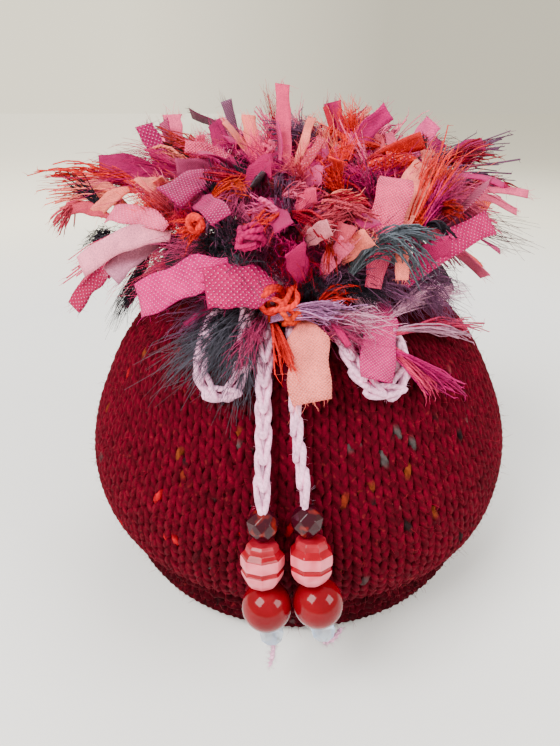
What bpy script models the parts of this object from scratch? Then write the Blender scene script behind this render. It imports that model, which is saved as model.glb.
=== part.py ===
"""A knitted tea cosy: two knit panels, a beaded drawstring tied in a bow, and a ribbon mop.

Sizes are in metres. The front is -Y, up is +Z, and the hem stands on z = 0 round the origin.
"""

import math
import random

import bmesh
import bpy
from mathutils import Matrix, Vector

# Half the gap between the two panels where they are sewn together
HALF_SEAM = 0.0002

# The knit panels: outer and inner face of the cloth, row by row from the hem to the neck
# outer z, outer radius, inner z, inner radius
PANEL_ROWS = (
    (0.0000, 0.0725, 0.0000, 0.0685),
    (0.0050, 0.0760, 0.0050, 0.0718),
    (0.0115, 0.0782, 0.0115, 0.0740),
    (0.0175, 0.0788, 0.0175, 0.0742),
    (0.0210, 0.0770, 0.0210, 0.0734),
    (0.0232, 0.0816, 0.0242, 0.0772),
    (0.0280, 0.0852, 0.0286, 0.0810),
    (0.0360, 0.0880, 0.0362, 0.0839),
    (0.0460, 0.0890, 0.0460, 0.0850),
    (0.0570, 0.0881, 0.0568, 0.0841),
    (0.0690, 0.0848, 0.0683, 0.0809),
    (0.0810, 0.0797, 0.0796, 0.0759),
    (0.0925, 0.0736, 0.0903, 0.0702),
    (0.1025, 0.0660, 0.0997, 0.0632),
    (0.1110, 0.0574, 0.1079, 0.0550),
    (0.1178, 0.0480, 0.1144, 0.0464),
    (0.1228, 0.0390, 0.1184, 0.0378),
    (0.1268, 0.0312, 0.1210, 0.0284),
    (0.1308, 0.0266, 0.1234, 0.0176),
    (0.1348, 0.0252, 0.1268, 0.0098),
    (0.1388, 0.0262, 0.1388, 0.0074),
)
SHOULDER_ROW = 8
NECK_ROW = 19
PANEL_COLUMNS = 36
SLIT_BOTTOM = 0.0222
SLIT_TOP = 0.0990
SLIT_HALF_WIDTH = 0.0140
SLIT_SKEW = 1.6
PLEATS_PER_PANEL = 9
PLEAT_START = 0.0860
PLEAT_FULL = 0.1230
PLEAT_DEPTH = 0.0026
SAG_DEPTH = 0.0007

# The collar that carries the mop: its section, as radius and height, and its ruffle
COLLAR_SECTION = (
    (0.0074, 0.1392),
    (0.0255, 0.1392),
    (0.0330, 0.1420),
    (0.0410, 0.1468),
    (0.0470, 0.1528),
    (0.0445, 0.1564),
    (0.0372, 0.1518),
    (0.0285, 0.1480),
    (0.0175, 0.1458),
    (0.0074, 0.1448),
)
COLLAR_SEGMENTS = 48
RUFFLE_HEIGHT = 0.0022
RUFFLE_WAVES = 5
# The ruffle leans forward, and so do the locks on it
COLLAR_LEAN = 0.0040
FRONT_DROOP = 9.0

# Tiers of locks on the collar's faces; an edge counts from the section's first point
# edge, first segment, every, lift at root, lift at tip, length, width
TIERS = (
    (2, 0, 2, -22, -56, 0.0470, 0.0070),
    (3, 1, 2, -12, -36, 0.0460, 0.0074),
    (4, 0, 2, 12, -6, 0.0440, 0.0076),
    (5, 1, 2, 40, 22, 0.0350, 0.0066),
    (6, 0, 2, 66, 60, 0.0230, 0.0050),
    (7, 1, 4, 80, 84, 0.0200, 0.0044),
    (8, 2, 8, 88, 88, 0.0170, 0.0030),
)
LOCK_THICKNESS = 0.0012
ROOT_SHARE = 0.55
# Locks lie this far above the shoulder, and further where the bow lies under them
LOCK_CLEARANCE = 0.0060
BOW_CLEARANCE = 0.0080
BOW_ANGLE = 0.05
# The bow takes the place of the lowest locks within this angle of the knot
KNOT_ANGLE = -0.12
KNOT_GAP = 0.36
LOCK_BANDS = 4
LENGTH_SPREAD = 0.16
LIFT_SPREAD = 5.0
TURN_SPREAD = 5.0
ROLL_SPREAD = 38.0
MOP_REACH = 0.0900
# Locks that stand out: tier, lock, length, width
LONG_LOCKS = (
    (4, 13, 0.0400, 0.0040),
    (3, 3, 0.0430, 0.0080),
    (1, 20, 0.0520, 0.0090),
    (0, 1, 0.0510, 0.0090),
)

# The drawstring: a crochet chain, tied in a bow at the front of the neck
CHAIN_DIAMETER = 0.0046
CHAIN_LINK = 0.0075
LINK_SWELL = 0.12
NECK_RUN_RADIUS = 0.0280
NECK_RUN_HEIGHT = 0.1346
NECK_RUN_POINTS = 30
KNOT_CENTRE = (-0.0080, -0.0341, 0.1330)
KNOT_AXES = (0.0062, 0.0047, 0.0053)
LOOP_LEFT = (
    (-0.0142, -0.0362, 0.1323),
    (-0.0182, -0.0386, 0.1310),
    (-0.0245, -0.0448, 0.1256),
    (-0.0300, -0.0524, 0.1172),
    (-0.0330, -0.0594, 0.1080),
    (-0.0316, -0.0652, 0.1018),
    (-0.0262, -0.0686, 0.0996),
    (-0.0208, -0.0678, 0.1028),
    (-0.0188, -0.0614, 0.1110),
    (-0.0184, -0.0538, 0.1200),
    (-0.0176, -0.0470, 0.1290),
    (-0.0146, -0.0406, 0.1376),
    (-0.0115, -0.0370, 0.1376),
)
LOOP_RIGHT = (
    (-0.0018, -0.0362, 0.1323),
    (0.0022, -0.0390, 0.1308),
    (0.0070, -0.0470, 0.1246),
    (0.0106, -0.0546, 0.1176),
    (0.0140, -0.0616, 0.1104),
    (0.0190, -0.0672, 0.1036),
    (0.0254, -0.0678, 0.0999),
    (0.0304, -0.0640, 0.1018),
    (0.0314, -0.0574, 0.1088),
    (0.0270, -0.0512, 0.1162),
    (0.0196, -0.0468, 0.1228),
    (0.0116, -0.0436, 0.1294),
    (0.0038, -0.0416, 0.1356),
    (-0.0014, -0.0400, 0.1386),
    (-0.0045, -0.0370, 0.1376),
)
TAIL_LEFT = (
    (-0.0105, -0.0369, 0.1288),
    (-0.0118, -0.0402, 0.1260),
    (-0.0121, -0.0460, 0.1226),
    (-0.0122, -0.0530, 0.1185),
    (-0.0123, -0.0596, 0.1131),
    (-0.0126, -0.0660, 0.1065),
    (-0.0128, -0.0726, 0.0981),
    (-0.0130, -0.0789, 0.0882),
    (-0.0131, -0.0833, 0.0819),
    (-0.0130, -0.0872, 0.0765),
    (-0.0129, -0.0890, 0.0728),
)
TAIL_RIGHT = (
    (-0.0055, -0.0369, 0.1288),
    (-0.0043, -0.0404, 0.1260),
    (-0.0041, -0.0466, 0.1226),
    (-0.0039, -0.0538, 0.1185),
    (-0.0036, -0.0604, 0.1131),
    (-0.0032, -0.0669, 0.1065),
    (-0.0027, -0.0735, 0.0981),
    (-0.0020, -0.0797, 0.0886),
    (-0.0010, -0.0837, 0.0829),
    (0.0000, -0.0874, 0.0778),
    (0.0004, -0.0889, 0.0745),
)
THREAD_DIAMETER = 0.0018
THREAD_LEFT = (
    (-0.0102, -0.0979, 0.0255),
    (-0.0099, -0.0980, 0.0226),
    (-0.0104, -0.0982, 0.0182),
    (-0.0112, -0.0984, 0.0140),
)
THREAD_RIGHT = (
    (0.0062, -0.0978, 0.0269),
    (0.0070, -0.0976, 0.0247),
    (0.0096, -0.0958, 0.0238),
    (0.0128, -0.0928, 0.0254),
)

# The beads: half outlines as height and radius, from the bottom up
GARNET_OUTLINE = (
    (-0.0047, 0.0022), (-0.0027, 0.0043), (0.0000, 0.0051), (0.0027, 0.0043), (0.0047, 0.0022),
)
BARREL_OUTLINE = (
    (-0.0071, 0.0028), (-0.0052, 0.0053), (-0.0025, 0.0065), (-0.0021, 0.0059), (-0.0013, 0.0059),
    (-0.0009, 0.0068), (0.0020, 0.0068), (0.0024, 0.0060), (0.0034, 0.0060), (0.0038, 0.0065),
    (0.0056, 0.0050), (0.0071, 0.0028),
)
CRYSTAL_OUTLINE = (
    (-0.0036, 0.0016), (-0.0020, 0.0036), (0.0000, 0.0041), (0.0020, 0.0036), (0.0036, 0.0016),
)
BALL_RADIUS = 0.0078
BALL_POLE = 0.0014
BALL_ROWS = 7
FACETED_SIDES = 8
BARREL_SIDES = 10
BALL_SIDES = 14
# side, then the centres of its garnet, barrel, ball and crystal
BEAD_CENTRES = {
    "left": (
        (-0.0129, -0.0908, 0.0680), (-0.0130, -0.0952, 0.0565),
        (-0.0118, -0.0974, 0.0412), (-0.0104, -0.0978, 0.0295),
    ),
    "right": (
        (0.0004, -0.0908, 0.0695), (0.0017, -0.0952, 0.0580),
        (0.0041, -0.0974, 0.0427), (0.0060, -0.0978, 0.0311),
    ),
}
# How far the top of each bead leans back towards the cloth, in degrees
BEAD_LEANS = (22.0, 17.0, 4.0, 2.0)


def clear_scene():
    for item in list(bpy.data.objects):
        bpy.data.objects.remove(item, do_unlink=True)


def make_material(name, colour, roughness, metallic=0.0, transmission=0.0):
    material = bpy.data.materials.new(name)
    material.use_nodes = True
    shader = material.node_tree.nodes["Principled BSDF"]
    shader.inputs["Base Color"].default_value = (*colour, 1.0)
    shader.inputs["Roughness"].default_value = roughness
    shader.inputs["Metallic"].default_value = metallic
    shader.inputs["Transmission Weight"].default_value = transmission
    return material


def add_mesh(name, bm, material, smooth_angle=None):
    """Turn a closed bmesh into a named object whose faces point out."""
    bmesh.ops.recalc_face_normals(bm, faces=bm.faces)
    mesh = bpy.data.meshes.new(name)
    bm.to_mesh(mesh)
    bm.free()
    if smooth_angle is not None:
        mesh.shade_smooth()
        mesh.set_sharp_from_angle(angle=smooth_angle)
    mesh.materials.append(material)
    item = bpy.data.objects.new(name, mesh)
    bpy.context.collection.objects.link(item)
    return item


def smoothstep(low, high, value):
    t = min(max((value - low) / (high - low), 0.0), 1.0)
    return t * t * (3.0 - 2.0 * t)


def around(radius, angle, height):
    """A point at a radius, with the angle counted from the front towards +X."""
    return Vector((radius * math.sin(angle), -radius * math.cos(angle), height))


# The knit panels

def slit_half_width(height):
    """Half the width of a side opening at one height, or half the seam's gap."""
    share = (height - SLIT_BOTTOM) / (SLIT_TOP - SLIT_BOTTOM)
    if not 0.0 < share < 1.0:
        return HALF_SEAM
    return max(HALF_SEAM, SLIT_HALF_WIDTH * math.sin(math.pi * share ** SLIT_SKEW))


def pleat_cut(angle, height):
    """How far the gathers draw the outer face in, deepest between two pleats."""
    strength = smoothstep(PLEAT_START, PLEAT_FULL, height)
    wave = 0.5 - 0.5 * math.cos(2.0 * PLEATS_PER_PANEL * angle)
    uneven = 0.8 + 0.2 * math.sin(3.0 * angle + 0.9)
    return PLEAT_DEPTH * strength * wave * uneven


def cloth_sag(angle, height):
    """Broad soft hollows in the knit between the hem band and the shoulder."""
    strength = smoothstep(0.025, 0.043, height) * (1.0 - smoothstep(0.090, 0.110, height))
    wave = math.sin(5.0 * angle + 0.6) * math.sin(70.0 * height + 1.1)
    return SAG_DEPTH * strength * (0.5 + 0.5 * wave)


def panel_points(row, facing):
    """The outer and the inner points of one row of a panel; facing turns it to the front or back."""
    outer_z, outer_radius, inner_z, inner_radius = row
    outer = []
    inner = []
    for column in range(PANEL_COLUMNS + 1):
        share = 2.0 * column / PANEL_COLUMNS - 1.0
        outer_edge = 0.5 * math.pi - slit_half_width(outer_z) / outer_radius
        inner_edge = 0.5 * math.pi - slit_half_width(outer_z) / inner_radius
        outer_angle = share * outer_edge
        drawn_in = pleat_cut(outer_angle, outer_z) + cloth_sag(outer_angle + facing, outer_z)
        outer.append(around(outer_radius - drawn_in, outer_angle + facing, outer_z))
        inner.append(around(inner_radius, share * inner_edge + facing, inner_z))
    return outer, inner


def make_panel(name, facing, material):
    bm = bmesh.new()
    outer = []
    inner = []
    for row in PANEL_ROWS:
        outer_points, inner_points = panel_points(row, facing)
        outer.append([bm.verts.new(point) for point in outer_points])
        inner.append([bm.verts.new(point) for point in inner_points])
    last = len(PANEL_ROWS) - 1
    for low in range(last):
        for left in range(PANEL_COLUMNS):
            for face in (outer, inner):
                bm.faces.new((face[low][left], face[low][left + 1],
                              face[low + 1][left + 1], face[low + 1][left]))
        for side in (0, PANEL_COLUMNS):
            bm.faces.new((outer[low][side], outer[low + 1][side],
                          inner[low + 1][side], inner[low][side]))
    for row in (0, last):
        for left in range(PANEL_COLUMNS):
            bm.faces.new((outer[row][left], outer[row][left + 1],
                          inner[row][left + 1], inner[row][left]))
    return add_mesh(name, bm, material, smooth_angle=math.radians(50))


# The mop

def collar_rings(bm):
    """The collar's points, one ring for each point of its section."""
    rings = []
    for radius, height in COLLAR_SECTION:
        flare = smoothstep(COLLAR_SECTION[1][0], COLLAR_SECTION[4][0], radius)
        ring = []
        for segment in range(COLLAR_SEGMENTS):
            angle = math.tau * segment / COLLAR_SEGMENTS
            wave = RUFFLE_HEIGHT * flare * math.sin(RUFFLE_WAVES * angle)
            lean = COLLAR_LEAN * flare * math.cos(angle)
            ring.append(bm.verts.new(around(radius, angle, height + wave - lean)))
        rings.append(ring)
    return rings


def lock_angle(segment):
    """The angle of a collar face from the front, between minus and plus half a turn."""
    angle = math.tau * (segment + 0.5) / COLLAR_SEGMENTS
    return angle if angle < math.pi else angle - math.tau


def lock_direction(angle, lift):
    return Vector((math.sin(angle) * math.cos(lift), -math.cos(angle) * math.cos(lift), math.sin(lift)))


def shoulder_height(radius):
    """The height of the panels' outer face at a radius, above their widest row."""
    upper = [(row[1], row[0]) for row in PANEL_ROWS[SHOULDER_ROW:NECK_ROW + 1]]
    for (wide, low), (narrow, high) in zip(upper, upper[1:]):
        if narrow <= radius <= wide:
            return low + (high - low) * (wide - radius) / (wide - narrow)
    return upper[0][1] if radius > upper[0][0] else upper[-1][1]


def lift_clear(place):
    """Raise a point of a lock that would sink into the shoulder or the bow."""
    radius = math.hypot(place.x, place.y)
    facing_bow = max(0.0, math.cos(math.atan2(place.x, -place.y) - BOW_ANGLE)) ** 2
    lowest = shoulder_height(radius) + LOCK_CLEARANCE + BOW_CLEARANCE * facing_bow
    if radius < PANEL_ROWS[SHOULDER_ROW][1]:
        place.z = max(place.z, lowest)
    return place


def lock_sections(corners, normal, angle, tier, length, width, rng):
    """The four-sided sections of one lock, from just off its root to its cut end."""
    _, _, _, root_lift, tip_lift, _, _ = tier
    lift_shift = rng.uniform(-LIFT_SPREAD, LIFT_SPREAD) - FRONT_DROOP * math.cos(angle)
    turn = math.radians(rng.uniform(-TURN_SPREAD, TURN_SPREAD))
    roll = math.radians(rng.uniform(-ROLL_SPREAD, ROLL_SPREAD))
    slant = rng.uniform(-0.5, 0.5) * width
    place = sum(corners, Vector()) / len(corners)
    heading = (corners[1] - corners[0]).normalized()
    sections = []
    for band in range(LOCK_BANDS):
        share = (band + 1) / LOCK_BANDS
        lift = math.radians(root_lift + (tip_lift - root_lift) * share + lift_shift)
        ahead = lock_direction(angle + turn * share, lift)
        if band == 0:
            ahead = (ahead + normal).normalized()
        step = length * (0.12 if band == 0 else 0.88 / (LOCK_BANDS - 1))
        place = lift_clear(place + ahead * step)
        across = heading - ahead * heading.dot(ahead)
        across = Matrix.Rotation(roll * share, 3, ahead) @ across.normalized()
        through = ahead.cross(across)
        half_width = 0.5 * width * (0.42, 0.85, 1.0, 0.92)[band]
        half_depth = 0.5 * LOCK_THICKNESS
        cut = slant if band == LOCK_BANDS - 1 else 0.0
        section = []
        for side, depth in ((-1, -1), (1, -1), (1, 1), (-1, 1)):
            corner = place + across * side * half_width + through * depth * half_depth
            section.append(corner + ahead * cut * side)
        sections.append(section)
    return sections


def grow_lock(bm, face, sections):
    """Join a face of the collar to a lock by way of a smaller face inside it."""
    corners = [vert.co.copy() for vert in face.verts]
    centre = sum(corners, Vector()) / len(corners)
    rims = [list(face.verts)]
    rims.append([bm.verts.new(centre + (corner - centre) * ROOT_SHARE) for corner in corners])
    for section in sections:
        rims.append([bm.verts.new(corner) for corner in section])
    bm.faces.remove(face)
    for low, high in zip(rims, rims[1:]):
        for side in range(4):
            after = (side + 1) % 4
            bm.faces.new((low[side], low[after], high[after], high[side]))
    bm.faces.new(rims[-1])


def make_mop(material):
    rng = random.Random(11)
    bm = bmesh.new()
    rings = collar_rings(bm)
    faces = {}
    count = len(COLLAR_SECTION)
    for edge in range(count):
        low = rings[edge]
        high = rings[(edge + 1) % count]
        for segment in range(COLLAR_SEGMENTS):
            after = (segment + 1) % COLLAR_SEGMENTS
            faces[edge, segment] = bm.faces.new((low[segment], low[after], high[after], high[segment]))
    bm.normal_update()
    stand_out = {(tier, lock): (length, width) for tier, lock, length, width in LONG_LOCKS}
    for tier_number, tier in enumerate(TIERS):
        edge, first, every, _, _, mean_length, mean_width = tier
        for lock, segment in enumerate(range(first, COLLAR_SEGMENTS, every)):
            length = mean_length * rng.uniform(1.0 - LENGTH_SPREAD, 1.0 + LENGTH_SPREAD)
            width = mean_width * rng.uniform(0.55, 1.1)
            length, width = stand_out.get((tier_number, lock), (length, width))
            if tier_number == 0 and abs(lock_angle(segment) - KNOT_ANGLE) < KNOT_GAP:
                continue
            face = faces[edge, segment]
            corners = [vert.co.copy() for vert in face.verts]
            angle = lock_angle(segment)
            sections = lock_sections(corners, face.normal, angle, tier, length, width, rng)
            grow_lock(bm, face, sections)
    even_reach(bm)
    return add_mesh("mop", bm, material)


def even_reach(bm):
    """Stretch the locks beyond the collar so that the mop reaches equally far on all four sides."""
    inside = max(radius for radius, _ in COLLAR_SECTION)
    for axis in (0, 1):
        for sign in (-1, 1):
            furthest = max(vert.co[axis] * sign for vert in bm.verts)
            stretch = (MOP_REACH - inside) / (furthest - inside)
            for vert in bm.verts:
                beyond = vert.co[axis] * sign - inside
                if beyond > 0.0:
                    vert.co[axis] = sign * (inside + beyond * stretch)


# The drawstring, its bow and its tails

def catmull_rom(points, samples):
    """A smooth curve through the route's own points."""
    route = [Vector(point) for point in points]
    padded = [2 * route[0] - route[1], *route, 2 * route[-1] - route[-2]]
    curve = []
    for before, start, end, after in zip(padded, padded[1:], padded[2:], padded[3:]):
        for sample in range(samples):
            t = sample / samples
            curve.append(0.5 * (2 * start + (end - before) * t
                                + (2 * before - 5 * start + 4 * end - after) * t ** 2
                                + (3 * start - before - 3 * end + after) * t ** 3))
    curve.append(route[-1])
    return curve


def even_points(points, step):
    """Points at even steps along the smooth curve."""
    curve = catmull_rom(points, samples=24)
    lengths = [0.0]
    for start, end in zip(curve, curve[1:]):
        lengths.append(lengths[-1] + (end - start).length)
    count = max(2, round(lengths[-1] / step))
    result = []
    place = 0
    for number in range(count + 1):
        target = lengths[-1] * number / count
        while place < len(lengths) - 2 and lengths[place + 1] < target:
            place += 1
        share = (target - lengths[place]) / (lengths[place + 1] - lengths[place])
        result.append(curve[place].lerp(curve[place + 1], share))
    return result


def make_tube(name, points, diameter, material, swell=0.0, closed=False):
    """A cord as a curve with a round bevel; swell raises every other point as a link."""
    curve = bpy.data.curves.new(name, "CURVE")
    curve.dimensions = "3D"
    curve.bevel_depth = 0.5 * diameter
    curve.bevel_resolution = 2
    curve.use_fill_caps = True
    spline = curve.splines.new("POLY")
    spline.points.add(len(points) - 1)
    for number, (place, point) in enumerate(zip(spline.points, points)):
        place.co = (*point, 1.0)
        place.radius = 1.0 + swell * (number % 2 - 0.5)
    spline.use_cyclic_u = closed
    curve.materials.append(material)
    item = bpy.data.objects.new(name, curve)
    bpy.context.collection.objects.link(item)
    return item


def make_neck_run(material):
    points = [around(NECK_RUN_RADIUS, math.tau * number / NECK_RUN_POINTS, NECK_RUN_HEIGHT)
              for number in range(NECK_RUN_POINTS)]
    return make_tube("drawstring", points, CHAIN_DIAMETER, material, closed=True)


def make_knot(material):
    bm = bmesh.new()
    bmesh.ops.create_icosphere(bm, subdivisions=2, radius=1.0)
    bmesh.ops.transform(bm, verts=bm.verts, matrix=Matrix.Diagonal((*KNOT_AXES, 1.0)))
    bmesh.ops.translate(bm, verts=bm.verts, vec=KNOT_CENTRE)
    return add_mesh("bow_knot", bm, material, smooth_angle=math.radians(60))


def make_chain(name, route, material):
    points = even_points(route, 0.5 * CHAIN_LINK)
    return make_tube(name, points, CHAIN_DIAMETER, material, swell=LINK_SWELL)


def make_thread(name, route, material):
    return make_tube(name, even_points(route, 0.002), THREAD_DIAMETER, material)


# The beads

def ball_outline():
    outline = []
    top = math.acos(BALL_POLE / BALL_RADIUS)
    for row in range(BALL_ROWS + 1):
        angle = -top + 2.0 * top * row / BALL_ROWS
        outline.append((BALL_RADIUS * math.sin(angle), BALL_RADIUS * math.cos(angle)))
    return outline


def make_bead(name, outline, sides, centre, lean, material, smooth_angle=None):
    """A bead turned about its leaning axis, with flat faces round it and flat ends."""
    turn = Matrix.Rotation(-math.radians(lean), 3, "X")
    bm = bmesh.new()
    rings = []
    for height, radius in outline:
        points = [around(radius, math.tau * (side + 0.5) / sides, height) for side in range(sides)]
        rings.append([bm.verts.new(turn @ point + Vector(centre)) for point in points])
    for low, high in zip(rings, rings[1:]):
        for side in range(sides):
            after = (side + 1) % sides
            bm.faces.new((low[side], low[after], high[after], high[side]))
    bm.faces.new(rings[0])
    bm.faces.new(rings[-1])
    return add_mesh(name, bm, material, smooth_angle)


def make_beads(side, materials):
    kinds = (
        ("garnet", GARNET_OUTLINE, FACETED_SIDES, None),
        ("barrel", BARREL_OUTLINE, BARREL_SIDES, None),
        ("ball", ball_outline(), BALL_SIDES, math.radians(60)),
        ("crystal", CRYSTAL_OUTLINE, FACETED_SIDES, None),
    )
    for kind, centre, lean in zip(kinds, BEAD_CENTRES[side], BEAD_LEANS):
        name, outline, sides, smooth_angle = kind
        make_bead(name + "_" + side, outline, sides, centre, lean, materials[name], smooth_angle)


def build():
    clear_scene()
    knit = make_material("crimson_knit", (0.190, 0.006, 0.020), 0.92)
    ribbon = make_material("ribbon_yarn", (0.610, 0.080, 0.210), 0.70)
    chain = make_material("lilac_cotton", (0.740, 0.520, 0.620), 0.85)
    beads = {
        "garnet": make_material("garnet_glass", (0.090, 0.012, 0.022), 0.12, transmission=0.3),
        "barrel": make_material("frosted_pink", (0.700, 0.220, 0.250), 0.38),
        "ball": make_material("red_glass", (0.480, 0.004, 0.008), 0.06),
        "crystal": make_material("clear_crystal", (0.800, 0.850, 0.920), 0.04, transmission=0.8),
    }
    make_panel("panel_front", 0.0, knit)
    make_panel("panel_back", math.pi, knit)
    make_mop(ribbon)
    make_neck_run(chain)
    make_knot(chain)
    make_chain("loop_left", LOOP_LEFT, chain)
    make_chain("loop_right", LOOP_RIGHT, chain)
    make_chain("tail_left", TAIL_LEFT, chain)
    make_chain("tail_right", TAIL_RIGHT, chain)
    for side in ("left", "right"):
        make_beads(side, beads)
    make_thread("thread_left", THREAD_LEFT, chain)
    make_thread("thread_right", THREAD_RIGHT, chain)


build()
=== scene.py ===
"""A knitted tea cosy: stitches of tweed yarn, a crochet drawstring with beads, a mop of ribbon yarns.

Sizes are in metres. The front is -Y, up is +Z, and the hem stands on z = 0 round the origin.
"""

import math

import bpy
import numpy as np
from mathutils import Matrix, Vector


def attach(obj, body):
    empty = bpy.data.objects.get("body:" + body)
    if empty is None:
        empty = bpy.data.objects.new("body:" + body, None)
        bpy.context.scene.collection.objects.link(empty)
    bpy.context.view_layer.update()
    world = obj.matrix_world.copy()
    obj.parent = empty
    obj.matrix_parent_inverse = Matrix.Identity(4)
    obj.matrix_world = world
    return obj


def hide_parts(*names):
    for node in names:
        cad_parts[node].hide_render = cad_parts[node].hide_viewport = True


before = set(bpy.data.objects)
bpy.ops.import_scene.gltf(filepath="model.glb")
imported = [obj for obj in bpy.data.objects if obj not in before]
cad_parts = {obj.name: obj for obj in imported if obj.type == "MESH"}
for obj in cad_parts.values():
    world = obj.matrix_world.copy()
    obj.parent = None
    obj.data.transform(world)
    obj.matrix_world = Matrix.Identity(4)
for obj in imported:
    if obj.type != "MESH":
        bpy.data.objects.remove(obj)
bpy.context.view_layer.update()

TAU = math.tau


# The camera

CAMERA_PLACE = (-0.0077, -0.2228, 0.1865)
CAMERA_TARGET = (-0.0077, 0.0, 0.0730)
LENS = 27.5
SENSOR_WIDTH = 36.0
NEAREST_SHOWN = 0.01


def linked(name, data):
    """A new object in the scene, made of the data."""
    item = bpy.data.objects.new(name, data)
    bpy.context.collection.objects.link(item)
    return item


def aim(item, place, target):
    """Puts a camera or a lamp at a place, and points it at the target."""
    item.location = place
    item.rotation_euler = (Vector(target) - Vector(place)).to_track_quat("-Z", "Y").to_euler()


def make_camera():
    data = bpy.data.cameras.new("view")
    data.lens = LENS
    data.sensor_width = SENSOR_WIDTH
    data.clip_start = NEAREST_SHOWN
    camera = linked("view", data)
    aim(camera, CAMERA_PLACE, CAMERA_TARGET)
    bpy.context.scene.camera = camera


# Places read from the photo

# The photo's middle column and row, and its focal length in pixels
PHOTO_MIDDLE = (280, 373)
PHOTO_FOCAL = 570
# How far from the camera the object is looked for
SIGHT_NEAR = 0.100
SIGHT_FAR = 0.420


def sight(column, row):
    """The direction from the camera through a pixel of the photo."""
    ahead = unit(np.array(CAMERA_TARGET) - CAMERA_PLACE)
    right = np.array((1.0, 0.0, 0.0))
    up = np.cross(right, ahead)
    return (ahead + right * (column - PHOTO_MIDDLE[0]) / PHOTO_FOCAL
            - up * (row - PHOTO_MIDDLE[1]) / PHOTO_FOCAL)


def first_along(direction, step, inside):
    """The first point of a line of sight that is inside, or None."""
    points = CAMERA_PLACE + direction * np.arange(SIGHT_NEAR, SIGHT_FAR, step)[:, None]
    found = np.flatnonzero(inside(points))
    return points[found[0]] if len(found) else None


# Mesh helpers

def unit(vectors):
    return vectors / np.maximum(np.linalg.norm(vectors, axis=-1, keepdims=True), 1e-12)


def smoothstep(low, high, value):
    t = np.clip((value - low) / (high - low), 0.0, 1.0)
    return t * t * (3.0 - 2.0 * t)


def bent(start, middle, end, t):
    """Points on a curve from start to end that bends towards the middle."""
    return (1 - t) ** 2 * start + 2 * t * (1 - t) * middle + t ** 2 * end


def around(radius, angle, height):
    """Points at a radius, with the angle counted from the front towards +X."""
    return np.stack(np.broadcast_arrays(radius * np.sin(angle), -radius * np.cos(angle), height), -1)


def round_section(radius, sides):
    """A round section for each point of each path."""
    angle = np.arange(sides) * TAU / sides
    ring = np.stack((np.cos(angle), np.sin(angle)), -1)
    return np.asarray(radius)[..., None, None] * ring


# Places across a ribbon's front, and back across its other face; and which face each is on
RIBBON_ACROSS = np.concatenate((np.linspace(1.0, -1.0, 5), np.linspace(1.0, -1.0, 5)[::-1]))
RIBBON_FACES = np.repeat((1.0, -1.0), 5)


def flat_section(half_width, half_depth, curl):
    """A ribbon's section: two faces, a little apart, that curl up at the edges."""
    lift = curl[..., None] * half_width[..., None] * (RIBBON_ACROSS ** 2 - 0.4)
    return np.stack((half_width[..., None] * RIBBON_ACROSS, lift + half_depth * RIBBON_FACES), -1)


def carried_frames(paths, facing):
    """Directions across and through each path, carried along it from facing without a twist."""
    ahead = unit(np.gradient(paths, axis=1))
    through = np.empty_like(paths)
    current = np.broadcast_to(facing, paths[:, 0].shape)
    for place in range(paths.shape[1]):
        step = ahead[:, place]
        current = unit(current - step * np.sum(current * step, -1, keepdims=True))
        through[:, place] = current
    return np.cross(through, ahead), through


def turned(side, through, angle):
    """The same directions, turned about the path."""
    angle = np.asarray(angle)[..., None]
    return (side * np.cos(angle) + through * np.sin(angle),
            through * np.cos(angle) - side * np.sin(angle))


def stand_in(item, node):
    """Lets an object ride on the body, in the place of a node's solid."""
    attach(item, "root")
    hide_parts(node)


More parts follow.
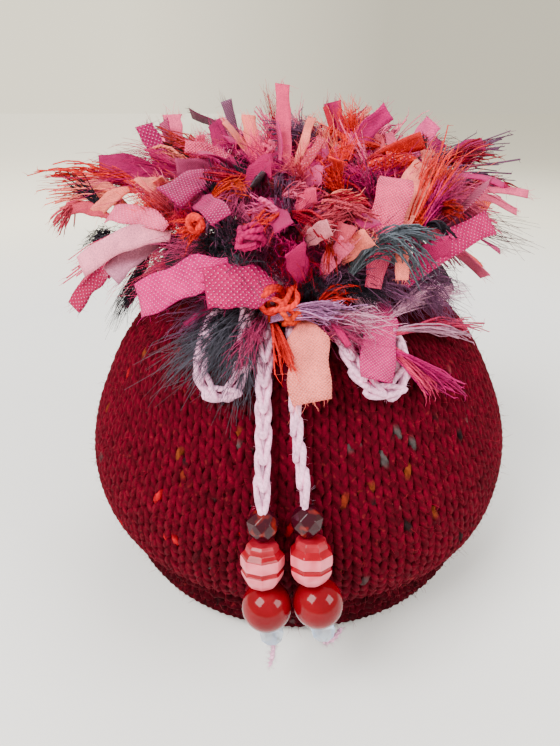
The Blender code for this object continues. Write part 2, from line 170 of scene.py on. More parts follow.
class Piece:
    """Collects swept tubes and ribbons into one mesh."""

    def __init__(self):
        self.points = []
        self.faces = []
        self.tints = []
        self.uvs = []
        self.count = 0

    def sweep(self, paths, side, through, section, tint, closed=False, across=None):
        """Sweeps a section along each path. tint is one colour for each path, or for each of its points.

        across tells where each point of the section lies on a ribbon, for its weave.
        """
        rings = (paths[:, :, None] + side[:, :, None] * section[..., :1]
                 + through[:, :, None] * section[..., 1:])
        number, steps, sides = rings.shape[:3]
        index = np.arange(number * steps * sides).reshape(number, steps, sides) + self.count
        ahead = np.roll(index, -1, axis=1) if closed else index[:, 1:]
        start = index if closed else index[:, :-1]
        quads = np.stack((start, np.roll(start, -1, 2), np.roll(ahead, -1, 2), ahead), -1)
        length = np.linalg.norm(np.diff(paths, axis=1, append=paths[:, :1]), axis=-1)
        far = np.cumsum(length, axis=1)
        near = far - length
        if across is None:
            low = np.arange(sides) / sides
            high = low + 1.0 / sides
        else:
            low, high = across, np.roll(across, -1)
        used = start.shape[1]
        u_low, u_high, v_low, v_high = (np.broadcast_to(values, quads.shape[:3]) for values in
                                        (near[:, :used, None], far[:, :used, None], low, high))
        uv = np.stack((np.stack((u_low, v_low), -1), np.stack((u_low, v_high), -1),
                       np.stack((u_high, v_high), -1), np.stack((u_high, v_low), -1)), -2)
        self.faces.append(quads.reshape(-1, 4))
        self.uvs.append(uv.reshape(-1, 2))
        if not closed:
            for cap in (index[:, 0, ::-1], index[:, -1]):
                self.faces.append(cap.reshape(-1, sides))
                self.uvs.append(np.zeros((cap.size, 2)))
        tint = np.asarray(tint, float)
        if tint.ndim == 2:
            tint = tint[:, None]
        self.tints.append(np.broadcast_to(tint[:, :, None], rings.shape).reshape(-1, 3))
        self.points.append(rings.reshape(-1, 3))
        self.count += index.size

    def tube(self, paths, facing, radius, sides, tint, closed=False):
        """Sweeps a round section along each path."""
        side, through = carried_frames(paths, facing)
        self.sweep(paths, side, through, round_section(radius, sides), tint, closed)

    def fill(self, points, faces):
        """Takes a ready surface instead, in white."""
        self.points = [points.reshape(-1, 3)]
        self.faces = faces
        self.uvs = [np.zeros((face.size, 2)) for face in faces]
        self.tints = [np.ones(self.points[0].shape)]

    def make(self, name, material, node, slot):
        mesh = bpy.data.meshes.new(name)
        points = np.concatenate(self.points).astype(np.float32)
        sizes = np.concatenate([np.full(len(faces), faces.shape[1]) for faces in self.faces])
        corners = np.concatenate([faces.ravel() for faces in self.faces]).astype(np.int32)
        starts = np.concatenate(([0], np.cumsum(sizes)[:-1])).astype(np.int32)
        mesh.vertices.add(len(points))
        mesh.vertices.foreach_set("co", points.ravel())
        mesh.loops.add(len(corners))
        mesh.loops.foreach_set("vertex_index", corners)
        mesh.polygons.add(len(sizes))
        mesh.polygons.foreach_set("loop_start", starts)
        mesh.polygons.foreach_set("use_smooth", np.full(len(sizes), True))
        layer = mesh.uv_layers.new(name="along")
        layer.data.foreach_set("uv", np.concatenate(self.uvs).astype(np.float32).ravel())
        tint = np.ones((len(points), 4), np.float32)
        tint[:, :3] = np.concatenate(self.tints)
        colours = mesh.color_attributes.new("tint", "FLOAT_COLOR", "POINT")
        colours.data.foreach_set("color", tint.ravel())
        mesh.update(calc_edges=True)
        mesh.materials.append(material)
        item = linked(name, mesh)
        stand_in(item, node)
        return item


def varied(colour, count, rng, spread):
    """One colour for each of count things, a little lighter or darker than the named one."""
    shade = 1.0 + rng.uniform(-spread, spread, (count, 1))
    return np.asarray(colour) * shade


# Materials

class Nodes:
    """The node tree of a material or of the world, built step by step."""

    def __init__(self, owner, shader="Principled BSDF"):
        owner.use_nodes = True
        self.owner = owner
        self.tree = owner.node_tree
        self.shader = self.tree.nodes[shader]

    def add(self, kind, **settings):
        node = self.tree.nodes.new("ShaderNode" + kind)
        for key, value in settings.items():
            setattr(node, key, value)
        return node

    def feed(self, socket, source):
        """Links the socket to another node's output, or sets its value."""
        if isinstance(source, bpy.types.NodeSocket):
            self.tree.links.new(source, socket)
        else:
            socket.default_value = source

    def value(self, node, *sources):
        """Feeds the node's inputs in order, and gives its first output."""
        for socket, source in zip(node.inputs, sources):
            self.feed(socket, source)
        return node.outputs[0]

    def named(self, node, **sources):
        """Feeds the node's inputs by their names, and gives its first output."""
        for name, source in sources.items():
            self.feed(node.inputs[name.replace("_", " ")], source)
        return node.outputs[0]

    def set(self, **sources):
        self.named(self.shader, **sources)

    def math(self, operation, *sources):
        return self.value(self.add("Math", operation=operation), *sources)

    def place(self, kind="Object"):
        return self.add("TexCoord").outputs[kind]

    def split(self, source):
        """The x, y and z of a place."""
        node = self.add("SeparateXYZ")
        self.feed(node.inputs[0], source)
        return tuple(node.outputs)

    def noise(self, scale, detail=2.0, roughness=0.5, stretch=None):
        node = self.add("TexNoise")
        place = self.place()
        if stretch:
            place = self.named(self.add("Mapping"), Vector=place, Scale=stretch)
        self.named(node, Scale=scale, Detail=detail, Roughness=roughness, Vector=place)
        return node.outputs["Fac"]

    def along(self):
        """How far along the yarn, in metres, and how far round it, as a share."""
        return self.split(self.add("UVMap", uv_map="along").outputs[0])[:2]

    def tinted(self, shade):
        """The mesh's own colour, darkened or lightened by the shade."""
        tint = self.add("Attribute", attribute_name="tint").outputs["Color"]
        return self.mix(1.0, tint, shade, "MULTIPLY")

    def mix(self, share, first, second, blend="MIX"):
        node = self.add("Mix", data_type="RGBA", blend_type=blend)
        for name, source in (("Factor_Float", share), ("A_Color", first), ("B_Color", second)):
            self.feed(next(socket for socket in node.inputs if socket.identifier == name), source)
        return next(socket for socket in node.outputs if socket.identifier == "Result_Color")

    def ramp(self, source, low, high, first=0.0, last=1.0):
        return self.named(self.add("MapRange"), Value=source, From_Min=low, From_Max=high,
                          To_Min=first, To_Max=last)

    def patches(self, scale, first, last, detail=2.0, roughness=0.5):
        """Soft random patches between two shades."""
        return self.ramp(self.noise(scale, detail, roughness), 0.3, 0.7, first, last)

    def bump(self, height, distance, strength=1.0):
        self.set(Normal=self.named(self.add("Bump"), Strength=strength, Distance=distance, Height=height))


def yarn_material(name, ply_pitch, twist_depth, roughness, dark, specular, sheen=0.0,
                  sheen_tint=(1.0, 1.0, 1.0, 1.0), fleck=0.0):
    """Plied yarn: two plies wind round it, with painted shade in the grooves between them, and its fibres
    catch the light.
    """
    nodes = Nodes(bpy.data.materials.new(name))
    u, v = nodes.along()
    turns = nodes.math("ADD", nodes.math("MULTIPLY", u, TAU / ply_pitch),
                       nodes.math("MULTIPLY", v, TAU * 2))
    ply = nodes.math("MULTIPLY_ADD", nodes.math("SINE", turns), 0.5, 0.5)
    fibre = nodes.noise(1600.0, detail=3.0, roughness=0.7)
    patch = nodes.patches(260.0, 0.75, 1.2)
    # Painted shade: the yarn is darker in the grooves between its plies.
    shade = nodes.math("MULTIPLY", nodes.ramp(ply, 0.0, 0.7, dark, 1.0),
                       nodes.ramp(fibre, 0.3, 0.7, 0.7, 1.2))
    shaded = nodes.tinted(nodes.math("MULTIPLY", shade, patch))
    if fleck:
        speck = nodes.ramp(nodes.noise(620.0, detail=0.0), 0.74, 0.80)
        shaded = nodes.mix(nodes.math("MULTIPLY", speck, fleck), shaded, (0.30, 0.03, 0.03, 1.0))
    nodes.bump(nodes.math("ADD", ply, nodes.math("MULTIPLY", fibre, 0.6)), twist_depth, 0.9)
    nodes.set(Base_Color=shaded, Roughness=roughness, Specular_IOR_Level=specular, Sheen_Weight=sheen,
              Sheen_Roughness=0.45, Sheen_Tint=sheen_tint)
    return nodes.owner


def cloth_material():
    """The back of the stitches, two near-black crimsons: painted shade between the yarns."""
    nodes = Nodes(bpy.data.materials.new("knit_back"))
    rows = nodes.noise(420.0, detail=3.0, stretch=(1.0, 1.0, 1.6))
    fibre = nodes.noise(1900.0)
    # Painted shade between the yarns: the ground's colours are near black.
    colour = nodes.mix(nodes.ramp(rows, 0.3, 0.7), (0.020, 0.001, 0.002, 1.0), (0.075, 0.004, 0.009, 1.0))
    nodes.bump(nodes.math("ADD", rows, nodes.math("MULTIPLY", fibre, 0.4)), 0.0012)
    nodes.set(Base_Color=colour, Roughness=0.95, Specular_IOR_Level=0.05)
    return nodes.owner


def ribbon_material(name, pitch, low, high, dot_colour, dot_share, weave_depth, roughness=0.55):
    """A knitted or woven ribbon: a net of threads with a lighter dot in each mesh."""
    nodes = Nodes(bpy.data.materials.new(name))
    row, column = (nodes.math("SINE", nodes.math("MULTIPLY", way, TAU / pitch)) for way in nodes.along())
    cell = nodes.math("MULTIPLY_ADD", nodes.math("MULTIPLY", row, column), 0.5, 0.5)
    thread = nodes.noise(2200.0)
    shade = nodes.math("MULTIPLY", nodes.ramp(thread, 0.3, 0.7, 0.72, 1.18),
                       nodes.patches(150.0, 0.78, 1.15))
    dots = nodes.math("MULTIPLY", nodes.ramp(cell, low, high), dot_share)
    nodes.bump(nodes.math("ADD", cell, nodes.math("MULTIPLY", thread, 0.5)), weave_depth)
    nodes.set(Base_Color=nodes.mix(dots, nodes.tinted(shade), dot_colour), Roughness=roughness,
              Specular_IOR_Level=0.12)
    return nodes.owner


def hair_material():
    nodes = Nodes(bpy.data.materials.new("fine_fibre"))
    nodes.set(Base_Color=nodes.tinted(nodes.patches(900.0, 0.8, 1.2, detail=1.0)), Roughness=0.6,
              Specular_IOR_Level=0.10)
    return nodes.owner


# The knit panels

# Outer face of the cloth, from the hem band's foot to the neck: height, radius
PROFILE = (
    (0.0000, 0.0725), (0.0050, 0.0760), (0.0115, 0.0782), (0.0175, 0.0788), (0.0210, 0.0770),
    (0.0232, 0.0816), (0.0280, 0.0852), (0.0360, 0.0880), (0.0460, 0.0890), (0.0570, 0.0881),
    (0.0690, 0.0848), (0.0810, 0.0797), (0.0925, 0.0736), (0.1025, 0.0660), (0.1110, 0.0574),
    (0.1178, 0.0480), (0.1228, 0.0390), (0.1268, 0.0312), (0.1308, 0.0266), (0.1348, 0.0252),
    (0.1388, 0.0262),
)
# The row of the profile where the hem band ends and the body begins
BAND_TOP = 4
# At the seams the panels overlap a little; the slots for spout and handle part them in between
HALF_SEAM = -0.0008
SLIT_BOTTOM = 0.0222
SLIT_TOP = 0.0990
SLIT_HALF_WIDTH = 0.0140
SLIT_SKEW = 1.6
PLEATS_PER_PANEL = 9
STITCHES = 41
ROWS = 32
BAND_ROWS = 5
YARN_RADIUS = 0.00150
YARN_SIDES = 5
# Below this width of a stitch the yarn is drawn thinner
FULL_STITCH = 0.0064
# How yarn runs in a row: half a loop's height in row pitches, its lean in stitches, its dip into the cloth
BODY_LOOPS = (0.90, 0.235, 0.0012)
HEM_LOOPS = (0.62, 0.10, -0.0013)
HEM_OUTWARD = 0.0013
UNEVENNESS = 0.13
GATHER_DEPTH = 0.0026
SAG = 0.0007
# How deep the two faces of the ground behind the stitches lie, and its points across and up
CLOTH_OUTER = 0.0023
CLOTH_INNER = 0.0039
CLOTH_COLUMNS = 55
CLOTH_ROWS = 49
HEM_FUZZ_COUNT = 400
FUZZ_COLOUR = (0.20, 0.003, 0.014)
# Radii of the fine fibres: on the knit, on the cotton, at a ribbon's cut and edges, at a tuft's tips,
# and in fur
FUZZ = 0.00007
DOWN = 0.00005
CUT_FRAY = 0.00010
EDGE_FRAY = 0.00006
TIP_FRAY = 0.00012
LASH = 0.00011
CRIMSON = (0.102, 0.0005, 0.0086)


def smooth_line(points, samples):
    """A smooth curve through the points."""
    route = np.asarray(points, float)
    route = np.concatenate((2 * route[:1] - route[1:2], route, 2 * route[-1:] - route[-2:-1]))
    t = (np.arange(samples) / samples)[None, :, None]
    before, start, end, after = (route[shift:len(route) - 3 + shift, None] for shift in range(4))
    curve = 0.5 * (2 * start + (end - before) * t + (2 * before - 5 * start + 4 * end - after) * t ** 2
                   + (3 * start - before - 3 * end + after) * t ** 3)
    return np.concatenate((curve.reshape(-1, route.shape[1]), route[-2:-1]))


def even_line(points, step):
    """Points at even steps along the smooth curve through the points."""
    curve = smooth_line(points, 24)
    far = np.concatenate(([0.0], np.cumsum(np.linalg.norm(np.diff(curve, axis=0), axis=1))))
    wanted = np.linspace(0.0, far[-1], max(2, round(far[-1] / step)) + 1)
    return np.stack([np.interp(wanted, far, curve[:, axis]) for axis in range(curve.shape[1])], -1)


class Profile:
    """A stretch of the cosy's side, read by how far up the cloth a point lies."""

    def __init__(self, rows):
        self.line = smooth_line(rows, 12)
        steps = np.linalg.norm(np.diff(self.line, axis=0), axis=1)
        self.far = np.concatenate(([0.0], np.cumsum(steps)))
        self.length = self.far[-1]
        slope = unit(np.gradient(self.line, axis=0))
        self.out = np.stack((-slope[:, 1], slope[:, 0]), -1)

    def at(self, arc):
        """Height, radius, and the direction that faces out, as height and radius."""
        return [np.interp(arc, self.far, values) for values in (*self.line.T, *self.out.T)]


def slit_half_width(height):
    share = np.clip((height - SLIT_BOTTOM) / (SLIT_TOP - SLIT_BOTTOM), 0.0, 1.0)
    return np.maximum(HALF_SEAM, SLIT_HALF_WIDTH * np.sin(math.pi * share ** SLIT_SKEW))


def on_cloth(profile, share, arc, depth, facing):
    """Points on a panel: share runs from edge to edge, arc up the cloth, depth into it."""
    height, radius, out_z, out_r = profile.at(arc)
    angle = share * (0.5 * math.pi - slit_half_width(height) / radius)
    gathers = 0.5 - 0.5 * np.cos(2.0 * PLEATS_PER_PANEL * angle)
    uneven = 0.8 + 0.2 * np.sin(3.0 * angle + 0.9)
    drawn = GATHER_DEPTH * smoothstep(0.086, 0.123, height) * gathers * uneven
    sagging = smoothstep(0.025, 0.043, height) * (1.0 - smoothstep(0.090, 0.110, height))
    wave = np.sin(5.0 * (angle + facing) + 0.6) * np.sin(70.0 * height + 1.1)
    radius = radius - drawn - SAG * sagging * (0.5 + 0.5 * wave)
    return around(radius - depth * out_r, angle + facing, height - depth * out_z)


def stitch_rows(profile, rows, facing, loops, steps, rng, first_arc, pitch):
    """Paths of rows of stitches, with the directions through the cloth."""
    half_height, lean, dip = loops
    t = np.linspace(0.0, TAU * STITCHES, STITCHES * steps + 1)[None]
    row = np.arange(rows)[:, None]
    wander = UNEVENNESS * rng.normal(size=(rows, STITCHES + 1))
    wander = np.stack([np.interp(t[0] / TAU, np.arange(STITCHES + 1), line) for line in wander])
    column = t / TAU + lean * np.sin(2.0 * t) + 0.35 * wander
    share = np.clip(2.0 * column / STITCHES - 1.0, -1.0, 1.0)
    arc = np.clip(first_arc + pitch * (row - half_height * np.cos(t) + wander), 0.0, profile.length)
    depth = YARN_RADIUS + dip * (0.5 + 0.5 * np.cos(2.0 * t))
    paths = on_cloth(profile, share, arc, depth, facing)
    return paths, unit(on_cloth(profile, share, arc, depth - 0.001, facing) - paths)


def add_stitches(piece, paths, through, radius, tint):
    ahead = unit(np.gradient(paths, axis=1))
    side = unit(np.cross(through, ahead))
    through = np.cross(ahead, side)
    piece.sweep(paths, side, through, round_section(radius, YARN_SIDES), tint)


# The colours of the tweed's slubs
GREY = (0.062, 0.050, 0.050)
ORANGE = (0.17, 0.032, 0.008)
RUST = (0.16, 0.018, 0.007)
SCARLET = (0.42, 0.0015, 0.0100)
ROSE = (0.40, 0.080, 0.090)
BLACK = (0.012, 0.006, 0.007)
# The radius at which a slub's distance is told, and how far the nearest yarn may lie
SLUB_RADIUS = 0.088
SLUB_REACH = 0.004
SLUB_SIGHT_STEP = 0.0002
# The slubs that show in front, by colour: the photo's column and row, length in stitches
SLUBS = (
    (GREY, (
        (155, 418, 0.8), (143, 419, 0.6), (242, 461, 1), (353, 449, 0.9), (362, 448, 0.6),
        (387, 457, 1), (416, 442, 0.8), (398, 433, 0.6), (470, 424, 0.8), (476, 449, 0.6),
        (213, 506, 0.7), (208, 573, 0.6),
    )),
    (ORANGE, (
        (174, 459, 0.7), (236, 439, 0.6), (414, 475, 0.8), (375, 493, 1.1), (439, 511, 0.7),
    )),
    (RUST, (
        (181, 473, 0.8), (181, 487, 0.7), (344, 509, 0.6),
    )),
    (SCARLET, (
        (163, 477, 0.8), (155, 497, 0.8), (172, 548, 1.6), (243, 535, 0.8), (283, 537, 0.8),
    )),
    (ROSE, (
        (402, 508, 0.8),
    )),
    (BLACK, (
        (182, 461, 0.6), (225, 440, 0.7), (376, 505, 0.7), (461, 435, 0.8), (410, 525, 0.7),
        (463, 541, 1.6),
    )),
)


def slub_place(column, row):
    """Where a pixel of the photo lies on the knit: whole degrees round it, and the height in mm."""
    heights, radii = np.array(PROFILE).T

    def inside(points):
        width = np.hypot(points[:, 0], points[:, 1])
        return (points[:, 2] < heights[-1]) & (width < np.interp(points[:, 2], heights, radii))

    x, y, z = first_along(sight(column, row), SLUB_SIGHT_STEP, inside)
    return round(math.degrees(math.atan2(x, -y))), round(z * 1000.0, 1)


def yarn_tints(paths, rng):
    """The tweed's colours: each stitch a little different, with slubs of other colours, and painted shade
    where the yarn dips into the cloth.
    """
    rows, points = paths.shape[:2]
    steps = points // STITCHES
    shade = 1.0 + 0.16 * rng.normal(size=(rows, points // 6 + 2))
    knots = np.arange(shade.shape[1]) * 6.0
    spread = np.stack([np.interp(np.arange(points), knots, line) for line in shade])
    # Painted shade: each stitch is darker where its yarn dips into the cloth.
    dip_shade = 0.5 + 0.5 * np.cos(2.0 * TAU * np.arange(points) / steps)
    tint = np.asarray(CRIMSON) * (np.clip(spread, 0.55, 1.5) * (1.0 - 0.48 * dip_shade))[..., None]
    colours = (GREY, ORANGE, RUST, SCARLET, ROSE, BLACK, BLACK)
    for _ in range(rows * 2):
        row = rng.integers(rows)
        start = rng.integers(points)
        flecked = tint[row, start:start + int(rng.integers(1, 4))]
        blend = rng.uniform(0.35, 0.9)
        flecked[:] = blend * np.array(colours[rng.integers(len(colours))]) + (1.0 - blend) * flecked
    for colour, places in SLUBS:
        for photo_column, photo_row, stitches in places:
            angle, height = slub_place(photo_column, photo_row)
            level = np.abs(paths[..., 2] - height * 0.001)
            turn = np.arctan2(paths[..., 0], -paths[..., 1]) - math.radians(angle)
            off = level + SLUB_RADIUS * np.abs((turn + math.pi) % TAU - math.pi)
            row, point = np.unravel_index(np.argmin(off), off.shape)
            if off[row, point] < SLUB_REACH:
                reach = max(1, int(0.17 * stitches * steps))
                tint[row, max(0, point - reach):point + reach] = colour
    return tint


def make_panel(name, facing, seed, steps, fuzz_count, materials):
    """A panel's cloth, with its stitches, its hem's stitches and its fuzz."""
    rng = np.random.default_rng(seed)
    body = Profile(PROFILE[BAND_TOP:])
    cloth = make_base_cloth(name, facing, materials["cloth"])
    pieces = []

    def finish(piece, part, material):
        pieces.append(piece.make(name + part, materials[material], name, "crimson_knit"))

    pitch = body.length / (ROWS + 0.4)
    paths, through = stitch_rows(body, ROWS, facing, BODY_LOOPS, steps, rng, pitch, pitch)
    tint = yarn_tints(paths, rng)
    width = np.linalg.norm(paths[..., :2], axis=-1) * math.pi / STITCHES
    radius = YARN_RADIUS * np.clip(width / FULL_STITCH, 0.62, 1.0)
    for part, rows in (("lower", slice(0, ROWS // 2)), ("upper", slice(ROWS // 2, ROWS))):
        piece = Piece()
        add_stitches(piece, paths[rows], through[rows], radius[rows], tint[rows])
        finish(piece, "_stitches_" + part, "tweed")
    band = Profile(PROFILE[:BAND_TOP + 1])
    pitch = band.length / (BAND_ROWS - 0.1)
    hem, hem_through = stitch_rows(band, BAND_ROWS, facing, HEM_LOOPS, steps, rng, 0.5 * pitch, pitch)
    hem[..., 2] = np.maximum(hem[..., 2], YARN_RADIUS)
    # The hem band's yarn is drawn darker: painted shade under the body's bulge.
    shaded_hem_tint = 0.72 * yarn_tints(hem, rng)
    hem = hem - hem_through * HEM_OUTWARD
    hem_radius = np.full(hem.shape[:2], YARN_RADIUS)
    piece = Piece()
    add_stitches(piece, hem, hem_through, hem_radius, shaded_hem_tint)
    finish(piece, "_hem_stitches", "tweed")
    fuzz = Piece()
    add_fuzz(fuzz, paths, through, radius, fuzz_count, rng)
    add_fuzz(fuzz, hem, hem_through, hem_radius, HEM_FUZZ_COUNT, rng)
    finish(fuzz, "_fuzz", "hair")
    return cloth, pieces


def make_base_cloth(name, facing, material):
    """The thin ground behind the stitches, from the hem's foot to the neck, dark as painted shade between
    them.
    """
    whole = Profile(PROFILE)
    share = np.linspace(-1.0, 1.0, CLOTH_COLUMNS)[None]
    arc = np.linspace(0.0, whole.length, CLOTH_ROWS)[:, None]
    grid = np.stack([on_cloth(whole, share, arc, depth, facing) for depth in (CLOTH_OUTER, CLOTH_INNER)], 2)
    grid[..., 2] = np.maximum(grid[..., 2], 0.0)
    index = np.arange(grid.size // 3).reshape(grid.shape[:3])
    # The outer and inner face, the two edges, the foot and the top, each with the order of its corners
    sheets = ((index[:, :, 0], 1), (index[:, :, 1], -1), (index[:, 0], -1), (index[:, -1], 1),
              (index[0], 1), (index[-1], -1))
    faces = []
    for cells, order in sheets:
        face = np.stack((cells[:-1, :-1], cells[:-1, 1:], cells[1:, 1:], cells[1:, :-1]), -1)
        faces.append(face.reshape(-1, 4)[:, ::order])
    piece = Piece()
    piece.fill(grid, faces)
    return piece.make(name + "_cloth", material, name, "crimson_knit")


def add_fuzz(piece, paths, through, radius, count, rng):
    """Short fibres that stand out of the yarn."""
    row = rng.integers(paths.shape[0], size=count)
    point = rng.integers(1, paths.shape[1] - 1, size=count)
    out = unit(through[row, point] + 0.55 * rng.normal(size=(count, 3)))
    root = paths[row, point] + out * radius[row, point, None] * 0.8
    length = rng.uniform(0.0015, 0.0042, (count, 1))
    bend = unit(rng.normal(size=(count, 3))) * length * 0.5
    tip = root + out * length * 0.75 + bend
    tint = varied(FUZZ_COLOUR, count, rng, 0.5)
    add_hairs(piece, root, root + out * length * 0.6, tip, FUZZ, tint, 3)


def add_hairs(piece, root, middle, tip, radius, tint, steps=4):
    """Fine hairs that bend and taper from root to tip, and stay above the floor."""
    t = np.linspace(0.0, 1.0, steps)[None, :, None]
    paths = bent(root[:, None], middle[:, None], tip[:, None], t)
    paths[..., 2] = np.maximum(paths[..., 2], 0.0003)
    taper = np.linspace(1.0, 0.35, steps)[None] * np.broadcast_to(radius, len(root))[:, None]
    piece.tube(paths, (0.31, 0.22, 0.92), taper, 3, tint)


# The drawstring

CHAIN_LINK = 0.0075
CHAIN_YARN = 0.00098
CHAIN_CORE = 0.00085
LINK_HALF_WIDTH = 0.00158
LINK_REACH = 0.84
LINK_DEPTH = 0.00110
LILAC = (0.980, 0.490, 0.730)
NECK_RUN_RADIUS = 0.0280
NECK_RUN_HEIGHT = 0.1346
NECK_RUN_CORE = 0.0012
KNOT_CENTRE = (-0.0080, -0.0341, 0.1330)
LOOP_LEFT = (
    (-0.0142, -0.0362, 0.1323), (-0.0182, -0.0386, 0.1310), (-0.0245, -0.0448, 0.1256),
    (-0.0300, -0.0524, 0.1172), (-0.0330, -0.0594, 0.1080), (-0.0316, -0.0652, 0.1018),
    (-0.0262, -0.0686, 0.0996), (-0.0208, -0.0678, 0.1028), (-0.0188, -0.0614, 0.1110),
    (-0.0184, -0.0538, 0.1200), (-0.0176, -0.0470, 0.1290), (-0.0146, -0.0406, 0.1376),
    (-0.0115, -0.0370, 0.1376),
)
LOOP_RIGHT = (
    (-0.0018, -0.0362, 0.1323), (0.0022, -0.0390, 0.1308), (0.0070, -0.0470, 0.1246),
    (0.0106, -0.0546, 0.1176), (0.0140, -0.0616, 0.1104), (0.0190, -0.0672, 0.1036),
    (0.0254, -0.0678, 0.0999), (0.0304, -0.0640, 0.1018), (0.0314, -0.0574, 0.1088),
    (0.0270, -0.0512, 0.1162), (0.0196, -0.0468, 0.1228), (0.0116, -0.0436, 0.1294),
    (0.0038, -0.0416, 0.1356), (-0.0014, -0.0400, 0.1386), (-0.0045, -0.0370, 0.1376),
)
TAIL_LEFT = (
    (-0.0105, -0.0369, 0.1288), (-0.0118, -0.0402, 0.1260), (-0.0121, -0.0460, 0.1226),
    (-0.0122, -0.0530, 0.1185), (-0.0123, -0.0596, 0.1131), (-0.0126, -0.0660, 0.1065),
    (-0.0128, -0.0726, 0.0981), (-0.0130, -0.0789, 0.0882), (-0.0131, -0.0833, 0.0819),
    (-0.0130, -0.0872, 0.0765), (-0.0129, -0.0890, 0.0728),
)
TAIL_RIGHT = (
    (-0.0055, -0.0369, 0.1288), (-0.0043, -0.0404, 0.1260), (-0.0041, -0.0466, 0.1226),
    (-0.0039, -0.0538, 0.1185), (-0.0036, -0.0604, 0.1131), (-0.0032, -0.0669, 0.1065),
    (-0.0027, -0.0735, 0.0981), (-0.0020, -0.0797, 0.0886), (-0.0010, -0.0837, 0.0829),
    (0.0000, -0.0874, 0.0778), (0.0004, -0.0889, 0.0745),
)
THREAD_LEFT = (
    (-0.0102, -0.0979, 0.0255), (-0.0099, -0.0980, 0.0226), (-0.0104, -0.0982, 0.0182),
    (-0.0112, -0.0984, 0.0140),
)
THREAD_RIGHT = (
    (0.0062, -0.0978, 0.0269), (0.0070, -0.0976, 0.0247), (0.0096, -0.0958, 0.0238),
    (0.0128, -0.0928, 0.0254),
)
THREAD_PLY = 0.00052
THREAD_TWIST = 0.00036
# Each cord's route, the way its links face, how they turn from end to end, its far end, and its seed
CORDS = {
    "loop_left": (LOOP_LEFT, (0.0, -1.0, 0.4), (0.2, 1.0), "object", 11),
    "loop_right": (LOOP_RIGHT, (0.0, -1.0, 0.4), (-0.1, -0.9), "object", 12),
    "tail_left": (TAIL_LEFT, (0.0, -0.9, 0.4), (0.1, -0.1), "fitting", 13),
    "tail_right": (TAIL_RIGHT, (0.0, -0.9, 0.4), (1.0, 1.2), "fitting", 14),
}
# The knot's turns of chain: place across, tilt, half width, half height and half depth
KNOT_TURNS = (
    (-0.0026, 0.35, 0.0034, 0.0046, 0.0040),
    (0.0024, -0.30, 0.0034, 0.0048, 0.0041),
    (0.0000, 0.05, 0.0024, 0.0050, 0.0046),
)
KNOT_POINTS = 24
KNOT_CORE = 0.0015


def chain_on(piece, centres, facing, turn, rng):
    """Crochet links along a line of centres, each a loop that comes up through the one before."""
    line = centres[None]
    side, through = turned(*carried_frames(line, facing), turn)
    ahead = unit(np.gradient(line, axis=1))
    t = np.linspace(0.0, TAU, 20, endpoint=False)
    wide = LINK_HALF_WIDTH * np.sin(t) * (1.0 - 0.50 * np.cos(t))
    long = LINK_REACH * CHAIN_LINK * np.cos(t)
    deep = LINK_DEPTH * np.cos(t) + 0.0003
    links = (line[0, :, None] + side[0, :, None] * wide[None, :, None]
             + ahead[0, :, None] * long[None, :, None] + through[0, :, None] * deep[None, :, None])
    links = links + 0.00010 * rng.normal(size=(len(links), 1, 3))
    step = unit(np.roll(links, -1, 1) - np.roll(links, 1, 1))
    across = unit(np.cross(np.broadcast_to(through[0, :, None], links.shape), step))
    radius = CHAIN_YARN * (1.0 + 0.06 * rng.normal(size=links.shape[:2]))
    tint = varied(LILAC, len(links), rng, 0.07)
    piece.sweep(links, across, np.cross(step, across), round_section(radius, 7), tint, closed=True)


def shaded_chain_core(piece, points, rng):
    """The cotton that shows between the links, drawn darker than the links as painted shade."""
    radius = np.full((1, len(points)), CHAIN_CORE)
    radius[:, (0, -1)] *= 0.6
    # Painted shade: the core is the chain's lilac, darkened.
    piece.tube(points[None], (0.1, -0.8, 0.6), radius, 7, varied(np.array(LILAC) * 0.60, 1, rng, 0.02))


def add_down(piece, points, radius, count, rng, length=0.0016):
    """Fine down on a cotton cord."""
    pick = rng.integers(len(points), size=count)
    out = unit(rng.normal(size=(count, 3)))
    root = points[pick] + out * radius * 0.9
    reach = rng.uniform(0.4, 1.0, (count, 1)) * length
    tip = root + out * reach + unit(rng.normal(size=(count, 3))) * reach * 0.4
    add_hairs(piece, root, root + out * reach * 0.5, tip, DOWN, varied(LILAC, count, rng, 0.1))


def make_chain(name, route, facing, turn, material, seed):
    """A cord of crochet links along a route, and the line that it follows."""
    rng = np.random.default_rng(seed)
    piece = Piece()
    line = even_line(route, 0.5 * CHAIN_LINK)
    shaded_chain_core(piece, line, rng)
    ends = even_line(route, CHAIN_LINK)
    centres = 0.5 * (ends[:-1] + ends[1:])
    turns = turn[0] + np.linspace(0.0, 1.0, len(centres))[None] * (turn[1] - turn[0])
    chain_on(piece, centres, facing, turns, rng)
    add_down(piece, line, 0.0021, 9 * len(line), rng)
    return piece.make(name + "_chain", material, name, "lilac_chain"), line


def make_neck_run(material):
    rng = np.random.default_rng(41)
    piece = Piece()
    count = round(TAU * NECK_RUN_RADIUS / CHAIN_LINK)
    centres = around(NECK_RUN_RADIUS, np.arange(count) * TAU / count, NECK_RUN_HEIGHT)
    chain_on(piece, centres, (0.0, -1.0, 0.3), 0.0, rng)
    ring = around(NECK_RUN_RADIUS, np.linspace(0.0, TAU, 61)[:-1], NECK_RUN_HEIGHT)[None]
    outward = unit(ring * (1.0, 1.0, 0.0))
    up = np.broadcast_to(np.array((0.0, 0.0, 1.0)), ring.shape)
    piece.sweep(ring, outward, up, round_section(NECK_RUN_CORE, 7), (LILAC,), closed=True)
    piece.make("drawstring_chain", material, "drawstring", "lilac_chain")


